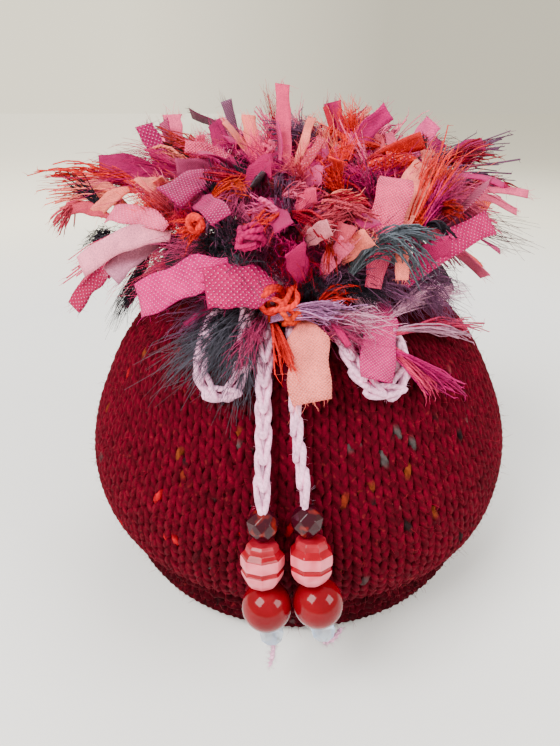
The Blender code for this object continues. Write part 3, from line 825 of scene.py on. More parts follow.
def make_knot(material):
    """The bow's knot: the chain wound round where the loops and tails meet."""
    rng = np.random.default_rng(43)
    piece = Piece()
    angle = np.arange(KNOT_POINTS) * TAU / KNOT_POINTS
    for shift, tilt, wide, tall, deep in KNOT_TURNS:
        ring = np.stack((shift + wide * 0.35 * np.sin(angle + 1.0) + tilt * 0.004 * np.cos(angle),
                         -deep * np.cos(angle) * 0.82, tall * np.sin(angle) * 0.86), -1) + KNOT_CENTRE
        chain_on(piece, ring[::4], (1.0, 0.0, 0.2), 1.2, rng)
        piece.tube(ring[None], (1.0, 0.0, 0.0), KNOT_CORE, 7, (LILAC,), closed=True)
    piece.make("bow_knot_wraps", material, "bow_knot", "lilac_chain")


def make_thread(name, route, material, seed):
    """The cord's end below the beads: two plies of cotton with their down."""
    rng = np.random.default_rng(seed)
    piece = Piece()
    points = even_line(route, 0.0007)
    side, through = carried_frames(points[None], (0.4, -0.8, 0.3))
    ends = np.sin(np.linspace(0.15, math.pi - 0.15, len(points))) ** 0.3
    for start in (0.0, math.pi):
        turn = (np.arange(len(points)) * 1.1 + start)[:, None]
        strand = (points + THREAD_TWIST * (side[0] * np.cos(turn) + through[0] * np.sin(turn)))[None]
        piece.sweep(strand, side, through, round_section(THREAD_PLY * ends[None], 6), (LILAC,))
    add_down(piece, points, 0.0007, 150, rng, 0.0020)
    return piece.make(name + "_end", material, name, "lilac_chain")


# The beads

# Each tail's beads from the knot down: centre, and lean in degrees
BEADS = {
    "left": (((-0.0129, -0.0908, 0.0680), 22.0), ((-0.0130, -0.0952, 0.0565), 17.0),
             ((-0.0118, -0.0974, 0.0412), 4.0), ((-0.0104, -0.0978, 0.0295), 2.0)),
    "right": (((0.0004, -0.0908, 0.0695), 22.0), ((0.0017, -0.0952, 0.0580), 17.0),
              ((0.0041, -0.0974, 0.0427), 4.0), ((0.0060, -0.0978, 0.0311), 2.0)),
}
# The beads' outlines from the foot up: height, radius
GARNET_OUTLINE = (
    (-0.0047, 0.0020), (-0.0034, 0.0037), (-0.0013, 0.0050), (0.0013, 0.0050), (0.0034, 0.0037),
    (0.0047, 0.0020),
)
BARREL_OUTLINE = (
    (-0.0071, 0.0032), (-0.0062, 0.0045), (-0.0048, 0.0056), (-0.0034, 0.0063), (-0.0019, 0.0066),
    (-0.0016, 0.0062), (-0.0006, 0.0062), (-0.0003, 0.0067), (0.0014, 0.0068), (0.0031, 0.0067),
    (0.0037, 0.0063), (0.0046, 0.0054), (0.0049, 0.0052), (0.0063, 0.0049), (0.0071, 0.0042),
)
CRYSTAL_OUTLINE = (
    (-0.0036, 0.0014), (-0.0026, 0.0030), (-0.0010, 0.0040), (0.0010, 0.0040), (0.0026, 0.0030),
    (0.0036, 0.0014),
)
BALL_RADIUS = 0.0078
BALL_POLE = math.acos(0.0014 / BALL_RADIUS)
BALL_OUTLINE = [(BALL_RADIUS * math.sin(a), BALL_RADIUS * math.cos(a))
                for a in np.linspace(-BALL_POLE, BALL_POLE, 25)]
# The rows of the barrel's faces that its grooves and its far end take up
GROOVE_ROWS = (4, 5, 6, 9, 10, 11)
ROSE_ROWS = (12, 13, 14)
BEVEL_WIDTH = 0.00018
BEVEL_ANGLE = math.radians(12.0)


def glass_material(name, colour, inner, roughness, clouds, specular, transmission=0.0, ior=1.52):
    """Glass with clouds of a second colour in it: their scale, and the noise where they begin and end."""
    nodes = Nodes(bpy.data.materials.new(name))
    scale, low, high = clouds
    cloud = nodes.ramp(nodes.noise(scale, detail=1.5), low, high)
    nodes.set(Base_Color=nodes.mix(cloud, (*colour, 1.0), (*inner, 1.0)), Roughness=roughness,
              Transmission_Weight=transmission, IOR=ior, Specular_IOR_Level=specular)
    return nodes.owner


def turned_bead(name, node, form, centre, lean, first=0.5, extra=()):
    """A bead turned about its leaning axis; a cut one has each second ring turned, for its facets."""
    outline, sides, cut, material, slot = form
    angle = np.arange(sides) * TAU / sides
    rings = []
    for row, (height, radius) in enumerate(outline):
        shift = 0.5 * (row % 2) if cut else first
        rings.append(around(radius, angle + shift * TAU / sides, height))
    tilt = -math.radians(lean)
    spin = np.array(((1, 0, 0), (0, math.cos(tilt), -math.sin(tilt)), (0, math.sin(tilt), math.cos(tilt))))
    points = np.concatenate(rings) @ spin.T + centre
    last_ring = (len(outline) - 1) * sides
    faces = []
    for row in range(len(outline) - 1):
        for side in range(sides):
            a, b = row * sides + side, row * sides + (side + 1) % sides
            c, d = b + sides, a + sides
            if not cut:
                faces.append((a, b, c, d))
            elif row % 2:
                faces += [(a, b, c), (a, c, d)]
            else:
                faces += [(a, b, d), (b, c, d)]
    faces.append(tuple(range(sides))[::-1])
    faces.append(tuple(range(last_ring, last_ring + sides)))
    mesh = bpy.data.meshes.new(name)
    mesh.from_pydata([tuple(point) for point in points], [], faces)
    mesh.materials.append(material)
    for number, (other, rows) in enumerate(extra, 1):
        mesh.materials.append(other)
        for face in mesh.polygons:
            if face.index // sides in rows:
                face.material_index = number
    if outline is BALL_OUTLINE:
        mesh.shade_smooth()
    item = linked(name, mesh)
    bevel = item.modifiers.new("edges", "BEVEL")
    bevel.width = BEVEL_WIDTH
    bevel.segments = 2
    bevel.limit_method = "ANGLE"
    bevel.angle_limit = BEVEL_ANGLE
    stand_in(item, node)


def make_beads():
    garnet = glass_material("garnet_glass", (0.030, 0.0015, 0.006), (0.20, 0.012, 0.008), 0.06,
                            (260.0, 0.55, 0.70), 0.28)
    frosted = glass_material("frosted_pink", (0.62, 0.068, 0.110), (0.80, 0.165, 0.225), 0.30,
                             (220.0, 0.30, 0.60), 0.3)
    groove = glass_material("red_groove", (0.25, 0.0002, 0.008), (0.31, 0.0005, 0.012), 0.12,
                            (300.0, 0.4, 0.6), 0.2)
    rose = glass_material("frosted_rose", (0.22, 0.0015, 0.008), (0.33, 0.010, 0.024), 0.30,
                          (260.0, 0.30, 0.60), 0.3)
    red = glass_material("red_glass", (0.150, 0.0001, 0.0042), (0.190, 0.0002, 0.0056), 0.07,
                         (120.0, 0.4, 0.6), 0.20)
    crystal = glass_material("clear_crystal", (0.62, 0.76, 1.0), (0.86, 0.93, 1.0), 0.03,
                             (240.0, 0.4, 0.6), 0.5, transmission=0.60, ior=1.45)
    # Outline, sides, whether it is cut, glass, slot
    forms = {
        "garnet": (GARNET_OUTLINE, 7, True, garnet, "garnet_glass"),
        "barrel": (BARREL_OUTLINE, 8, False, frosted, "frosted_bead"),
        "ball": (BALL_OUTLINE, 48, False, red, "red_glass"),
        "crystal": (CRYSTAL_OUTLINE, 7, True, crystal, "clear_crystal"),
    }
    for side, places in BEADS.items():
        for (kind, form), (centre, lean) in zip(forms.items(), places):
            barrel = kind == "barrel"
            turned_bead(kind + "_bead_" + side, kind + "_" + side, form, centre, lean,
                        first=0.0 if barrel and side == "left" else 0.5,
                        extra=((groove, GROOVE_ROWS), (rose, ROSE_ROWS)) if barrel else ())


def make_drawstring(material):
    """The bow's chains, each along the solid of its node, the threads, the neck's run and the knot."""
    chains = {}
    for name, (route, facing, turn, _, seed) in CORDS.items():
        chains[name] = make_chain(name, route, facing, turn, material, seed)
    threads = {}
    for side, route, seed in (("left", THREAD_LEFT, 21), ("right", THREAD_RIGHT, 22)):
        threads[side] = make_thread("thread_" + side, route, material, seed)
    make_neck_run(material)
    make_knot(material)
    return chains, threads


def declare_cords(chains, threads):
    for name, (item, points) in chains.items():
        side = name.split("_")[1]
        far_end = CORDS[name][3]
        with_pieces = []
        if far_end == "fitting":
            with_pieces = [kind + "_bead_" + side for kind in ("garnet", "barrel", "ball", "crystal")]
            with_pieces.append(threads[side])


# The mop

PALETTE = {
    "hot_pink": (0.54, 0.001, 0.145), "pink": (0.80, 0.038, 0.150), "light_pink": (0.84, 0.100, 0.230),
    "pale_pink": (0.94, 0.270, 0.400), "magenta": (0.30, 0.000, 0.075), "dark_pink": (0.36, 0.002, 0.060),
    "hot_magenta": (0.42, 0.000, 0.092), "coral": (0.76, 0.016, 0.014), "orange": (0.74, 0.042, 0.010),
    "peach": (0.94, 0.190, 0.150), "dusty": (0.56, 0.045, 0.085), "dusty_pale": (0.76, 0.210, 0.270),
    "rust": (0.36, 0.010, 0.008), "crimson": (0.42, 0.001, 0.024), "dark_red": (0.27, 0.001, 0.016),
    "plum": (0.080, 0.004, 0.028), "slate": (0.056, 0.052, 0.070), "slate_brown": (0.100, 0.040, 0.052),
    "ink": (0.014, 0.010, 0.017), "lilac": (0.60, 0.240, 0.520), "pale_lilac": (0.62, 0.280, 0.420),
    "mauve": (0.36, 0.030, 0.110), "mauve_pink": (0.68, 0.060, 0.220), "mauve_grey": (0.52, 0.180, 0.290),
    "grey_violet": (0.150, 0.050, 0.115), "steel": (0.115, 0.135, 0.165),
}
# Yarn ends that show in front and at the rim. Their columns are the kind, the colour, the width, the root
# and the tip, each as the photo's column and row and a depth, and the rise between them. The depth is y,
# or after an s the distance from the knit's shoulder. Lengths are in millimetres.
ENDS = """
dotted hot_pink 12.5 230 266 -58 139 303 s24 3
dotted hot_magenta 13 275 291 -57 204 289 -63 2
dotted light_pink 8 168 228 -24 109 216 -16 5
plain pale_pink 8 170 238 -28 80 267 -30 7
plain mauve_grey 8 158 243 -27 110 277 -33 4
dotted dark_pink 6.5 112 268 -20 73 307 -22 3
dotted dark_pink 6 150 240 -12 102 274 -20 5
fur ink 7 150 255 -22 116 322 s10 3
fur pink 14 212 250 -38 124 293 s10 5
fur mauve 12 214 262 -40 150 300 s8 4
fur ink 14 236 236 -44 212 262 -46 4
fur slate 14 232 250 -48 250 284 -52 4
fur ink 13 258 262 -51 228 236 -46 3
brush coral 6 122 181 2 47 177 4 3
brush coral 5 140 190 0 84 172 6 4
plain peach 7.5 124 206 -4 75 181 0 3
brush peach 6 118 196 -2 48 199 -4 2
plain peach 5 130 190 -2 96 215 -8 3
plain dusty 5 108 216 -8 66 208 -6 3
brush dusty 4 72 209 -6 58 226 -9 1
brush ink 3.5 101 208 -6 73 184 -2 2
plain magenta 8 160 176 8 98 167 6 5
plain magenta 6 185 172 8 120 182 2 4
dotted magenta 7 165 166 12 143 126 16 1
plain light_pink 7.5 177 146 26 170 113 32 0
brush rust 5.5 230 168 14 163 138 22 3
brush crimson 5 238 172 12 176 150 18 3
brush ink 3 196 165 12 160 146 20 2
brush orange 4 180 172 8 160 163 12 1
plain mauve 6 222 178 8 176 168 12 3
dotted magenta 9 226 176 4 168 197 -4 4
dotted magenta 7 198 199 -8 220 219 -16 3
plain peach 7 172 186 0 142 188 -4 2
plain peach 4 168 196 -4 158 178 0 1
fur slate_brown 12 205 208 -12 158 212 -12 3
brush orange 4 212 200 -6 244 184 2 3
plain hot_magenta 7 248 188 0 274 163 10 3
plain hot_magenta 6 262 184 2 270 170 8 2
fur mauve 12 262 196 -10 222 232 -36 10
knot hot_magenta 8 252 238 -47 252 238 -47 0
plain hot_magenta 6 250 226 -46 248 247 -50 2
fur light_pink 8 206 160 20 198 138 26 1
plain peach 5.5 252 148 20 250 116 26 0
knot plum 7 249 144 30 249 144 30 0
fur plum 10 252 150 28 228 142 32 2
fur dusty 9 240 158 22 220 150 26 2
brush hot_pink 2.5 252 148 26 206 150 24 1
plain pink 5.5 288 164 14 281 85 26 0
plain peach 3.4 294 166 12 313 117 22 -1
knot coral 5 196 223 -14 196 223 -14 0
brush coral 4 204 230 -18 180 236 -18 2
fur slate 9 140 240 -12 96 250 -16 2
fur ink 8 110 232 -8 92 246 -12 1
plain magenta 9 314 168 22 318 136 26 0
plain crimson 2.6 338 146 28 326 107 34 -1
brush coral 2.5 384 148 20 340 152 24 3
brush coral 2.2 356 152 24 322 128 30 4
fur coral 9 356 146 24 346 106 30 0
fur rust 5 362 142 24 368 118 28 0
plain dusty_pale 5 374 168 14 333 147 22 2
plain light_pink 4 397 157 16 388 133 20 0
plain dusty 4 378 166 14 380 134 20 1
plain mauve_pink 7.5 404 166 12 434 122 18 2
plain magenta 5 428 158 10 443 142 14 1
brush ink 3 424 156 12 424 140 16 1
brush dark_red 7 450 163 4 486 149 6 2
plain magenta 5.5 446 160 6 484 144 8 2
fur slate_brown 12 372 168 12 418 172 10 5
brush coral 8 340 200 -6 328 176 2 2
brush hot_magenta 7 368 198 -6 350 171 2 2
brush crimson 5 376 214 -14 328 206 -10 4
brush dusty 5 376 222 -18 326 214 -14 4
woven pink 11 374 289 -54 397 180 -22 9
plain peach 9 396 240 -40 424 168 -12 8
brush coral 9 412 224 -28 446 157 -6 4
brush orange 7 416 226 -28 452 170 -8 4
brush hot_pink 6 424 226 -28 446 188 -12 3
brush steel 6 352 272 -56 427 268 -46 18
brush steel 3 382 240 -36 436 236 -26 4
brush ink 2.5 426 228 -14 449 236 -14 4
dotted hot_magenta 8.5 404 285 -47 491 221 -24 5
plain hot_magenta 6 404 278 -45 450 246 -32 5
plain light_pink 3.2 450 193 -4 526 197 -4 4
plain light_pink 3 452 200 -8 517 210 -6 5
brush hot_pink 2.5 446 206 -8 475 219 -10 5
brush dark_red 2 470 186 -4 514 188 -2 4
brush dusty 5 440 200 -6 484 184 0 3
brush rust 4 436 216 -12 462 212 -10 3
plain peach 4 402 248 -42 404 278 -48 2
plain light_pink 5 320 278 -53 346 240 -47 2
plain peach 5.5 338 266 -51 367 238 -45 3
plain hot_magenta 6.5 303 281 -54 294 249 -50 2
brush orange 1.4 270 322 -57 260 264 -51 2
brush coral 1.4 286 320 -57 306 256 -52 3
knot coral 11 281 303 -56 281 303 -56 0
knot orange 8 289 313 -57 289 313 -57 0
knot coral 9 273 298 -56 273 298 -56 0
brush coral 4.5 322 302 -55 348 288 -51 3
brush lilac 5 272 319 -58 344 311 -57 3
brush lilac 3.5 278 309 -57 332 316 -58 3
plain hot_magenta 2 330 320 -55 347 345 s15 1
brush coral 4 272 322 -55 288 371 s17 2
woven peach 12.5 304 322 -56 312 401 s15 3
fur grey_violet 16 352 274 -44 410 300 s12 4
fur grey_violet 14 405 280 -38 448 318 s8 4
fur grey_violet 12 420 268 -30 444 292 s8 3
fur ink 12 360 262 -48 330 280 -52 3
fur ink 10 340 286 -52 380 300 s14 3
fur pale_lilac 6 388 318 s12 436 286 s12 3
fur pale_lilac 5 396 312 s12 464 290 s12 4
woven hot_pink 11 382 302 -46 376 378 s16 3
brush hot_pink 5 394 352 s12 451 391 s7 2
brush pink 4 392 346 s12 430 392 s7 2
brush pink 2.8 392 334 s12 479 325 s9 3
brush pale_lilac 2.6 392 330 s12 470 336 s9 3
fur mauve 12 322 324 -56 366 344 s10 2
fur pale_lilac 10 330 320 -55 380 330 s12 2
fur slate 15 254 308 -50 168 376 s9 4
fur slate 14 256 310 -51 200 388 s10 4
fur slate 12 258 314 -52 232 402 s12 3
fur ink 11 250 306 -49 190 352 s8 4
fur mauve 10 262 318 -54 238 366 s14 2
fur grey_violet 12 246 304 -48 180 330 s9 4
plain magenta 2.2 212 309 s13 185 326 s11 1
brush plum 1.6 266 330 -56 232 352 s13 2
plain dusty 5 318 226 -32 352 238 -38 2
plain dusty_pale 5 306 246 -44 328 228 -38 2
brush coral 4 288 216 -22 262 224 -28 3
plain magenta 5 350 214 -24 372 228 -30 2
brush dusty 5 318 206 -14 366 218 -22 4
plain pink 5 296 210 -14 318 196 -8 2
brush mauve_pink 4 284 230 -38 254 210 -30 3
fur plum 13 300 292 -52 276 244 -46 3
fur crimson 12 312 288 -52 300 240 -44 3
fur plum 12 260 290 -53 262 244 -47 3
fur magenta 11 318 282 -51 334 246 -44 3
fur grey_violet 13 322 292 -52 346 260 -46 3
fur ink 10 300 300 -54 324 270 -49 3
brush crimson 3 300 298 -54 284 262 -51 3
fur plum 14 288 262 -49 322 234 -42 3
fur mauve 12 250 282 -52 244 246 -47 3
fur dusty 9 340 262 -46 362 236 -40 2
fur plum 13 270 240 -42 300 216 -30 3
brush dusty 4 300 240 -40 330 218 -30 3
fur plum 13 330 244 -42 360 214 -28 3
fur mauve 9 386 262 -42 414 246 -32 2
plain magenta 6 262 214 -26 286 228 -34 3
brush hot_magenta 4 300 262 -50 286 240 -46 2
brush crimson 5 290 215 -16 330 232 -26 3
fur plum 14 300 222 -18 262 206 -8 3
fur magenta 12 318 240 -38 350 226 -28 3
fur plum 12 290 244 -46 322 256 -50 3
fur crimson 12 276 250 -47 300 276 -53 3
brush rust 3 330 240 -42 332 264 -49 2
fur slate 12 300 196 -4 332 206 -12 3
brush light_pink 4 282 200 -2 306 190 4 2
plain mauve_pink 6 300 186 6 322 176 12 2
brush peach 4 318 214 -14 352 196 -4 3
"""
# Dark ends that lie behind those and close the gaps between them: painted shade deep in the mop. The
# columns are the same.
SHADE_BACKING = """
plain ink 12 240 262 -38 172 248 -30 2
plain plum 11 226 250 -34 166 264 -30 2
fur ink 12 228 260 -43 196 236 -40 2
fur mauve 12 216 256 -40 160 250 -36 3
plain plum 9 424 224 -26 474 218 -14 1
"""
# How often each colour comes up in the mop's filling
FILLING = {
    "hot_pink": 9, "pink": 6, "light_pink": 5, "pale_pink": 2, "magenta": 13, "hot_magenta": 9,
    "coral": 8, "orange": 1, "peach": 5, "dusty": 6, "rust": 3, "crimson": 9, "plum": 6, "slate": 4,
    "mauve": 5, "ink": 3, "grey_violet": 3,
}
# The fluff in the middle of the front is darker: dark yarns of the mop, put there also as painted shade in
# its hollow middle
FRONT_FILLING = (
    "plum", "mauve", "grey_violet", "ink", "magenta", "crimson", "dusty", "mauve", "plum", "dusty",
)
# Ends round the rim, tier by tier from below: root radius, root height, tip radius, tip height, count
RIM = (
    (0.0300, 0.1400, 0.0780, 0.1140, 26),
    (0.0360, 0.1440, 0.0870, 0.1300, 28),
    (0.0360, 0.1500, 0.0880, 0.1460, 30),
    (0.0340, 0.1520, 0.0790, 0.1600, 26),
    (0.0180, 0.1520, 0.0440, 0.1680, 14),
)
# Half the sector in front, in radians, that the named ends fill; the rim's own ends leave it free
FRONT_SECTOR = 1.30
# The mop's crown: how many ends, out to which radius, its height in the middle, its rise towards the
# back, in front and behind, and how fast it falls outwards
CROWN_ENDS = 190
CROWN_RADIUS = 0.056
CROWN_TOP = 0.1560
CROWN_RISE_FRONT = 0.02
CROWN_RISE_BACK = 0.36
CROWN_FALL = 3.4
RIBBON_STEPS = 16
RIBBON_HALF_DEPTH = 0.00022
TUFT_STEPS = 7
TUFT_RADIUS = 0.00028
KNOT_YARN = 0.0009
# A random end is a ribbon below the first share, a silky bundle below the second, and fur above
RIBBON_SHARE = 0.50
TUFT_SHARE = 0.78
# How many more hairs a named fur has for each millimetre of its width, in front and behind
HAIRS_IN_FRONT = 9.0
HAIRS_BEHIND = 3.0
# How far from the crown's surface roots and tips lie in the middle of the front, in millimetres
CLEARANCES = {"fur": (-4.0, -2.0), "brush": (1.0, 9.0), "knot": (7.0, 7.0)}
RIBBON_CLEARANCE = (2.0, 11.0)
# The photo's rows between which that middle shows, its least y, and its radius, in millimetres
CROWN_ROWS = (150, 300)
CROWN_FRONT = -50
CROWN_EDGE = 54.0
SIGHT_STEP = 0.00025
NAMED_FACING = np.array((0.0, -0.82, 0.57))
# The panels' shoulder from the neck down to the widest place: height, radius
SHOULDER = np.array(PROFILE[8:20])[::-1]
COLLAR_INNER = 0.0074
COLLAR_SECTION = (
    (0.0074, 0.1392), (0.0255, 0.1392), (0.0330, 0.1420), (0.0410, 0.1468), (0.0470, 0.1528),
    (0.0445, 0.1564), (0.0372, 0.1518), (0.0285, 0.1480), (0.0175, 0.1458), (0.0074, 0.1448),
)


def lifted(paths, clearance):
    """Paths raised clear of the shoulder, and of the bow in front."""
    radius = np.linalg.norm(paths[..., :2], axis=-1)
    angle = np.arctan2(paths[..., 0], -paths[..., 1])
    bow = np.maximum(0.0, np.cos(angle - 0.05)) ** 2
    shoulder = np.interp(radius, SHOULDER[:, 1], SHOULDER[:, 0])
    lowest = shoulder + clearance + 0.0055 * bow * (radius > 0.035)
    raised = paths.copy()
    inside = radius < SHOULDER[-1, 1]
    raised[..., 2] = np.where(inside, np.maximum(paths[..., 2], lowest), paths[..., 2])
    return raised


def arched(root, tip, rise, points, rng, wiggle):
    """Paths from roots to tips that rise between them and wander a little."""
    t = np.linspace(0.0, 1.0, points)[None, :, None]
    span = np.linalg.norm(tip - root, axis=-1, keepdims=True)
    middle = 0.5 * (root + tip) + rise
    paths = bent(root[:, None], middle[:, None], tip[:, None], t)
    for waves in (1.6, 3.1):
        phase = rng.uniform(0.0, TAU, (len(root), 1, 3))
        paths = paths + wiggle / waves * np.sin(TAU * waves * 0.5 * t + phase) * t * (span[:, None] / 0.03)
    return paths


def add_ribbon(parts, kind, root, tip, rise, width, tint, rng, facing, roll, curl, twist=0.35):
    """A flat ribbon end with a soft curl, a frayed cut, and loose fibres along both edges."""
    paths = arched(root[None], tip[None], rise, RIBBON_STEPS, rng, wiggle=0.0009)
    paths = lifted(paths, 0.0026)
    side, through = carried_frames(paths, facing)
    t = np.linspace(0.0, 1.0, RIBBON_STEPS)
    sway = rng.uniform(-twist, twist) * np.sin(TAU * (0.8 * t + rng.uniform()))
    side, through = turned(side, through, (roll * smoothstep(0.1, 1.0, t) + sway)[None])
    uneven = 1.0 + 0.07 * np.sin(TAU * (2.2 * t + rng.uniform()))
    swell = 0.5 * width * (0.45 + 0.55 * smoothstep(0.0, 0.35, t)) * uneven
    curls = curl * (0.6 + 0.8 * np.sin(math.pi * (t + rng.uniform(0.0, 0.5))))
    section = flat_section(swell[None], RIBBON_HALF_DEPTH, curls[None])
    parts[kind].sweep(paths, side, through, section, (tint,), across=RIBBON_ACROSS * 0.5 * width)
    count = max(6, int(width * 1500))
    x = rng.uniform(-1.0, 1.0, (count, 1))
    end_side = side[0, -1]
    ahead = unit(paths[0, -1] - paths[0, -2])
    start = paths[0, -1] + end_side * x * swell[-1] * 0.95 - ahead * 0.0006
    reach = rng.uniform(0.001, 0.0045, (count, 1))
    bend = end_side * rng.normal(size=(count, 1)) * 0.25 + rng.normal(size=(count, 3)) * 0.28
    fray = varied(tint, count, rng, 0.2)
    ends = start + (ahead + bend) * reach
    add_hairs(parts["hairs"], start, start + ahead * reach * 0.5, ends, CUT_FRAY, fray, 3)
    count = int(8 + width * 900)
    point = rng.integers(2, RIBBON_STEPS, count)
    edge = rng.choice((-1.0, 1.0), (count, 1))
    start = paths[0, point] + side[0, point] * edge * swell[point, None] * 0.98
    out = unit(side[0, point] * edge + 0.6 * rng.normal(size=(count, 3)))
    reach = rng.uniform(0.0008, 0.0030, (count, 1))
    ends = start + out * reach + 0.3 * reach * rng.normal(size=(count, 3))
    loose = varied(tint, count, rng, 0.25)
    add_hairs(parts["hairs"], start, start + out * reach * 0.5, ends, EDGE_FRAY, loose, 3)


def add_tuft(parts, root, tip, rise, width, tint, rng, count, radius=TUFT_RADIUS):
    """A bundle of yarn ends that spread towards their frayed tips."""
    spread = rng.normal(size=(count, 3))
    roots = root + spread * width * 0.10
    reach = rng.uniform(0.72, 1.06, (count, 1))
    tips = root + (tip - root) * reach + spread * width * 0.42 + rng.normal(size=(count, 3)) * width * 0.12
    paths = arched(roots, tips, rise * rng.uniform(0.6, 1.4, (count, 1)), TUFT_STEPS, rng, wiggle=0.0013)
    paths = lifted(paths, 0.0018 + radius)
    thickness = radius * (1.0 + 0.25 * rng.normal(size=(count, 1)) ** 2)
    taper = thickness * np.linspace(1.0, 0.72, TUFT_STEPS)[None]
    parts["strands"].tube(paths, (0.2, -0.6, 0.75), taper, 3, varied(tint, count, rng, 0.25))
    ahead = unit(paths[:, -1] - paths[:, -2])
    reach = rng.uniform(0.001, 0.0036, (count, 1))
    out = unit(ahead + 0.45 * rng.normal(size=(count, 3)))
    start = paths[:, -1] - ahead * 0.0004
    ends = start + out * reach + 0.2 * reach * rng.normal(size=(count, 3))
    fray = varied(tint, count, rng, 0.3)
    add_hairs(parts["hairs"], start, start + out * reach * 0.6, ends, TIP_FRAY, fray, 3)


def add_fur(parts, root, tip, rise, width, tint, rng, count):
    """Long fine hairs that leave a thread near its root and flow together towards its tip."""
    t = rng.uniform(0.0, 0.55, (count, 1))
    start = bent(root, 0.5 * (root + tip) + rise, tip, t)
    start = start + rng.normal(size=(count, 3)) * width * 0.13
    side = unit(rng.normal(size=(count, 3)))
    reach = rng.uniform(0.45, 1.10, (count, 1))
    ends = start + (tip - start) * reach + side * width * rng.uniform(0.1, 0.85, (count, 1))
    bend = 0.5 * (start + ends) + rise * 0.6 + rng.normal(size=(count, 3)) * width * 0.30
    ends = lifted(ends[None], 0.0016)[0]
    bend = lifted(bend[None], 0.0022)[0]
    radius = LASH * (1.0 + 0.6 * rng.uniform(size=count))
    add_hairs(parts["hairs"], start, bend, ends, radius, varied(tint, count, rng, 0.4))


def add_knot(parts, centre, size, tint, rng):
    """A small knot of yarn: three loops wound in and out of one another."""
    angle = np.linspace(0.0, TAU, 20, endpoint=False)[:, None]
    for turn in range(3):
        axis = unit(rng.normal(size=3))
        first = unit(np.cross(axis, rng.normal(size=3)))
        second = np.cross(axis, first)
        loop = centre + size * (first * np.cos(angle) + second * np.sin(angle) * rng.uniform(0.55, 0.9)
                                + axis * 0.25 * np.sin(2.0 * angle + turn))
        parts["strands"].tube(loop[None], axis, KNOT_YARN, 5, varied(tint, 1, rng, 0.2), closed=True)


def collar_piece():
    """The knotted edge that carries the mop, lumpy, and flared outwards and up."""
    section = smooth_line(COLLAR_SECTION + COLLAR_SECTION[:1], 4)[:-1]
    angle = np.linspace(0.0, TAU, 144, endpoint=False)[:, None]
    flare = smoothstep(0.0255, 0.0470, section[:, 0])[None]
    height = section[None, :, 1] + 0.0022 * flare * np.sin(5.0 * angle) - 0.0040 * flare * np.cos(angle)
    lumps = 0.0005 * np.sin(29.0 * angle + 9.0 * np.arange(len(section))[None])
    narrow = COLLAR_INNER + 0.58 * (section[None, :, 0] - COLLAR_INNER)
    rings = around(narrow + lumps, angle, height + 0.6 * lumps)
    index = np.arange(rings.size // 3).reshape(rings.shape[:2])
    ahead = np.roll(index, -1, 0)
    quads = np.stack((index, ahead, np.roll(ahead, -1, 1), np.roll(index, -1, 1)), -1).reshape(-1, 4)
    piece = Piece()
    piece.fill(rings, [quads])
    return piece


def add_end(parts, root, tip, rise, tint, outward, rng):
    """One yarn end of a kind picked at random: a ribbon, a silky bundle or fur."""
    tint = tint * rng.uniform(0.85, 1.15)
    pick = rng.uniform()
    if pick < RIBBON_SHARE:
        kind = ("dotted", "woven", "plain", "plain")[rng.integers(4)]
        add_ribbon(parts, kind, root, tip, rise, rng.uniform(0.0038, 0.0080), tint, rng, outward,
                   roll=rng.uniform(-0.9, 0.9), curl=rng.uniform(0.1, 0.45))
    elif pick < TUFT_SHARE:
        width = rng.uniform(0.0035, 0.0070)
        add_tuft(parts, root, tip, rise, width, tint, rng, int(rng.integers(20, 34)), 0.00029)
    else:
        add_fur(parts, root, tip, rise, rng.uniform(0.008, 0.014), tint, rng, 72)


def crown_height(x, y):
    """The height of the mop's crown of fluff, which rises towards the back."""
    rise = np.where(y < 0.0, CROWN_RISE_FRONT, CROWN_RISE_BACK)
    return CROWN_TOP + rise * y - CROWN_FALL * (x ** 2 + y ** 2)


def off_shoulder(direction, clearance):
    """Where a line of sight first comes as near to the knit's shoulder as the clearance."""
    def inside(points):
        radius = np.hypot(points[:, 0], points[:, 1])
        top = np.interp(radius, SHOULDER[:, 1], SHOULDER[:, 0])
        return (radius < SHOULDER[-1, 1] + clearance) & (points[:, 2] < top + clearance)

    point = first_along(direction, SIGHT_STEP, inside)
    return off_shoulder(direction, clearance + 0.001) if point is None else point


def off_crown(direction, clearance):
    """Where a line of sight first comes as near to the mop's crown as the clearance, or None."""
    def inside(points):
        x, y, z = points.T
        return (np.hypot(x, y) < CROWN_EDGE * 0.001 + clearance) & (z < crown_height(x, y) + clearance)

    return first_along(direction, SIGHT_STEP, inside)


def photo_place(column, row, depth, clearance):
    """Where a pixel of the photo lies, to the millimetre. With a clearance, the crown stops it first."""
    direction = sight(float(column), float(row))
    if depth.startswith("s"):
        point = off_shoulder(direction, float(depth[1:]) * 0.001)
    else:
        y = float(depth) * 0.001
        point = CAMERA_PLACE + direction * (y - CAMERA_PLACE[1]) / direction[1]
        shown = CROWN_ROWS[0] <= float(row) <= CROWN_ROWS[1] and float(depth) >= CROWN_FRONT
        if shown and clearance is not None:
            nearer = off_crown(direction, clearance * 0.001)
            if nearer is not None and nearer[1] < y:
                point = nearer
    return np.round(point * 1000.0) * 0.001


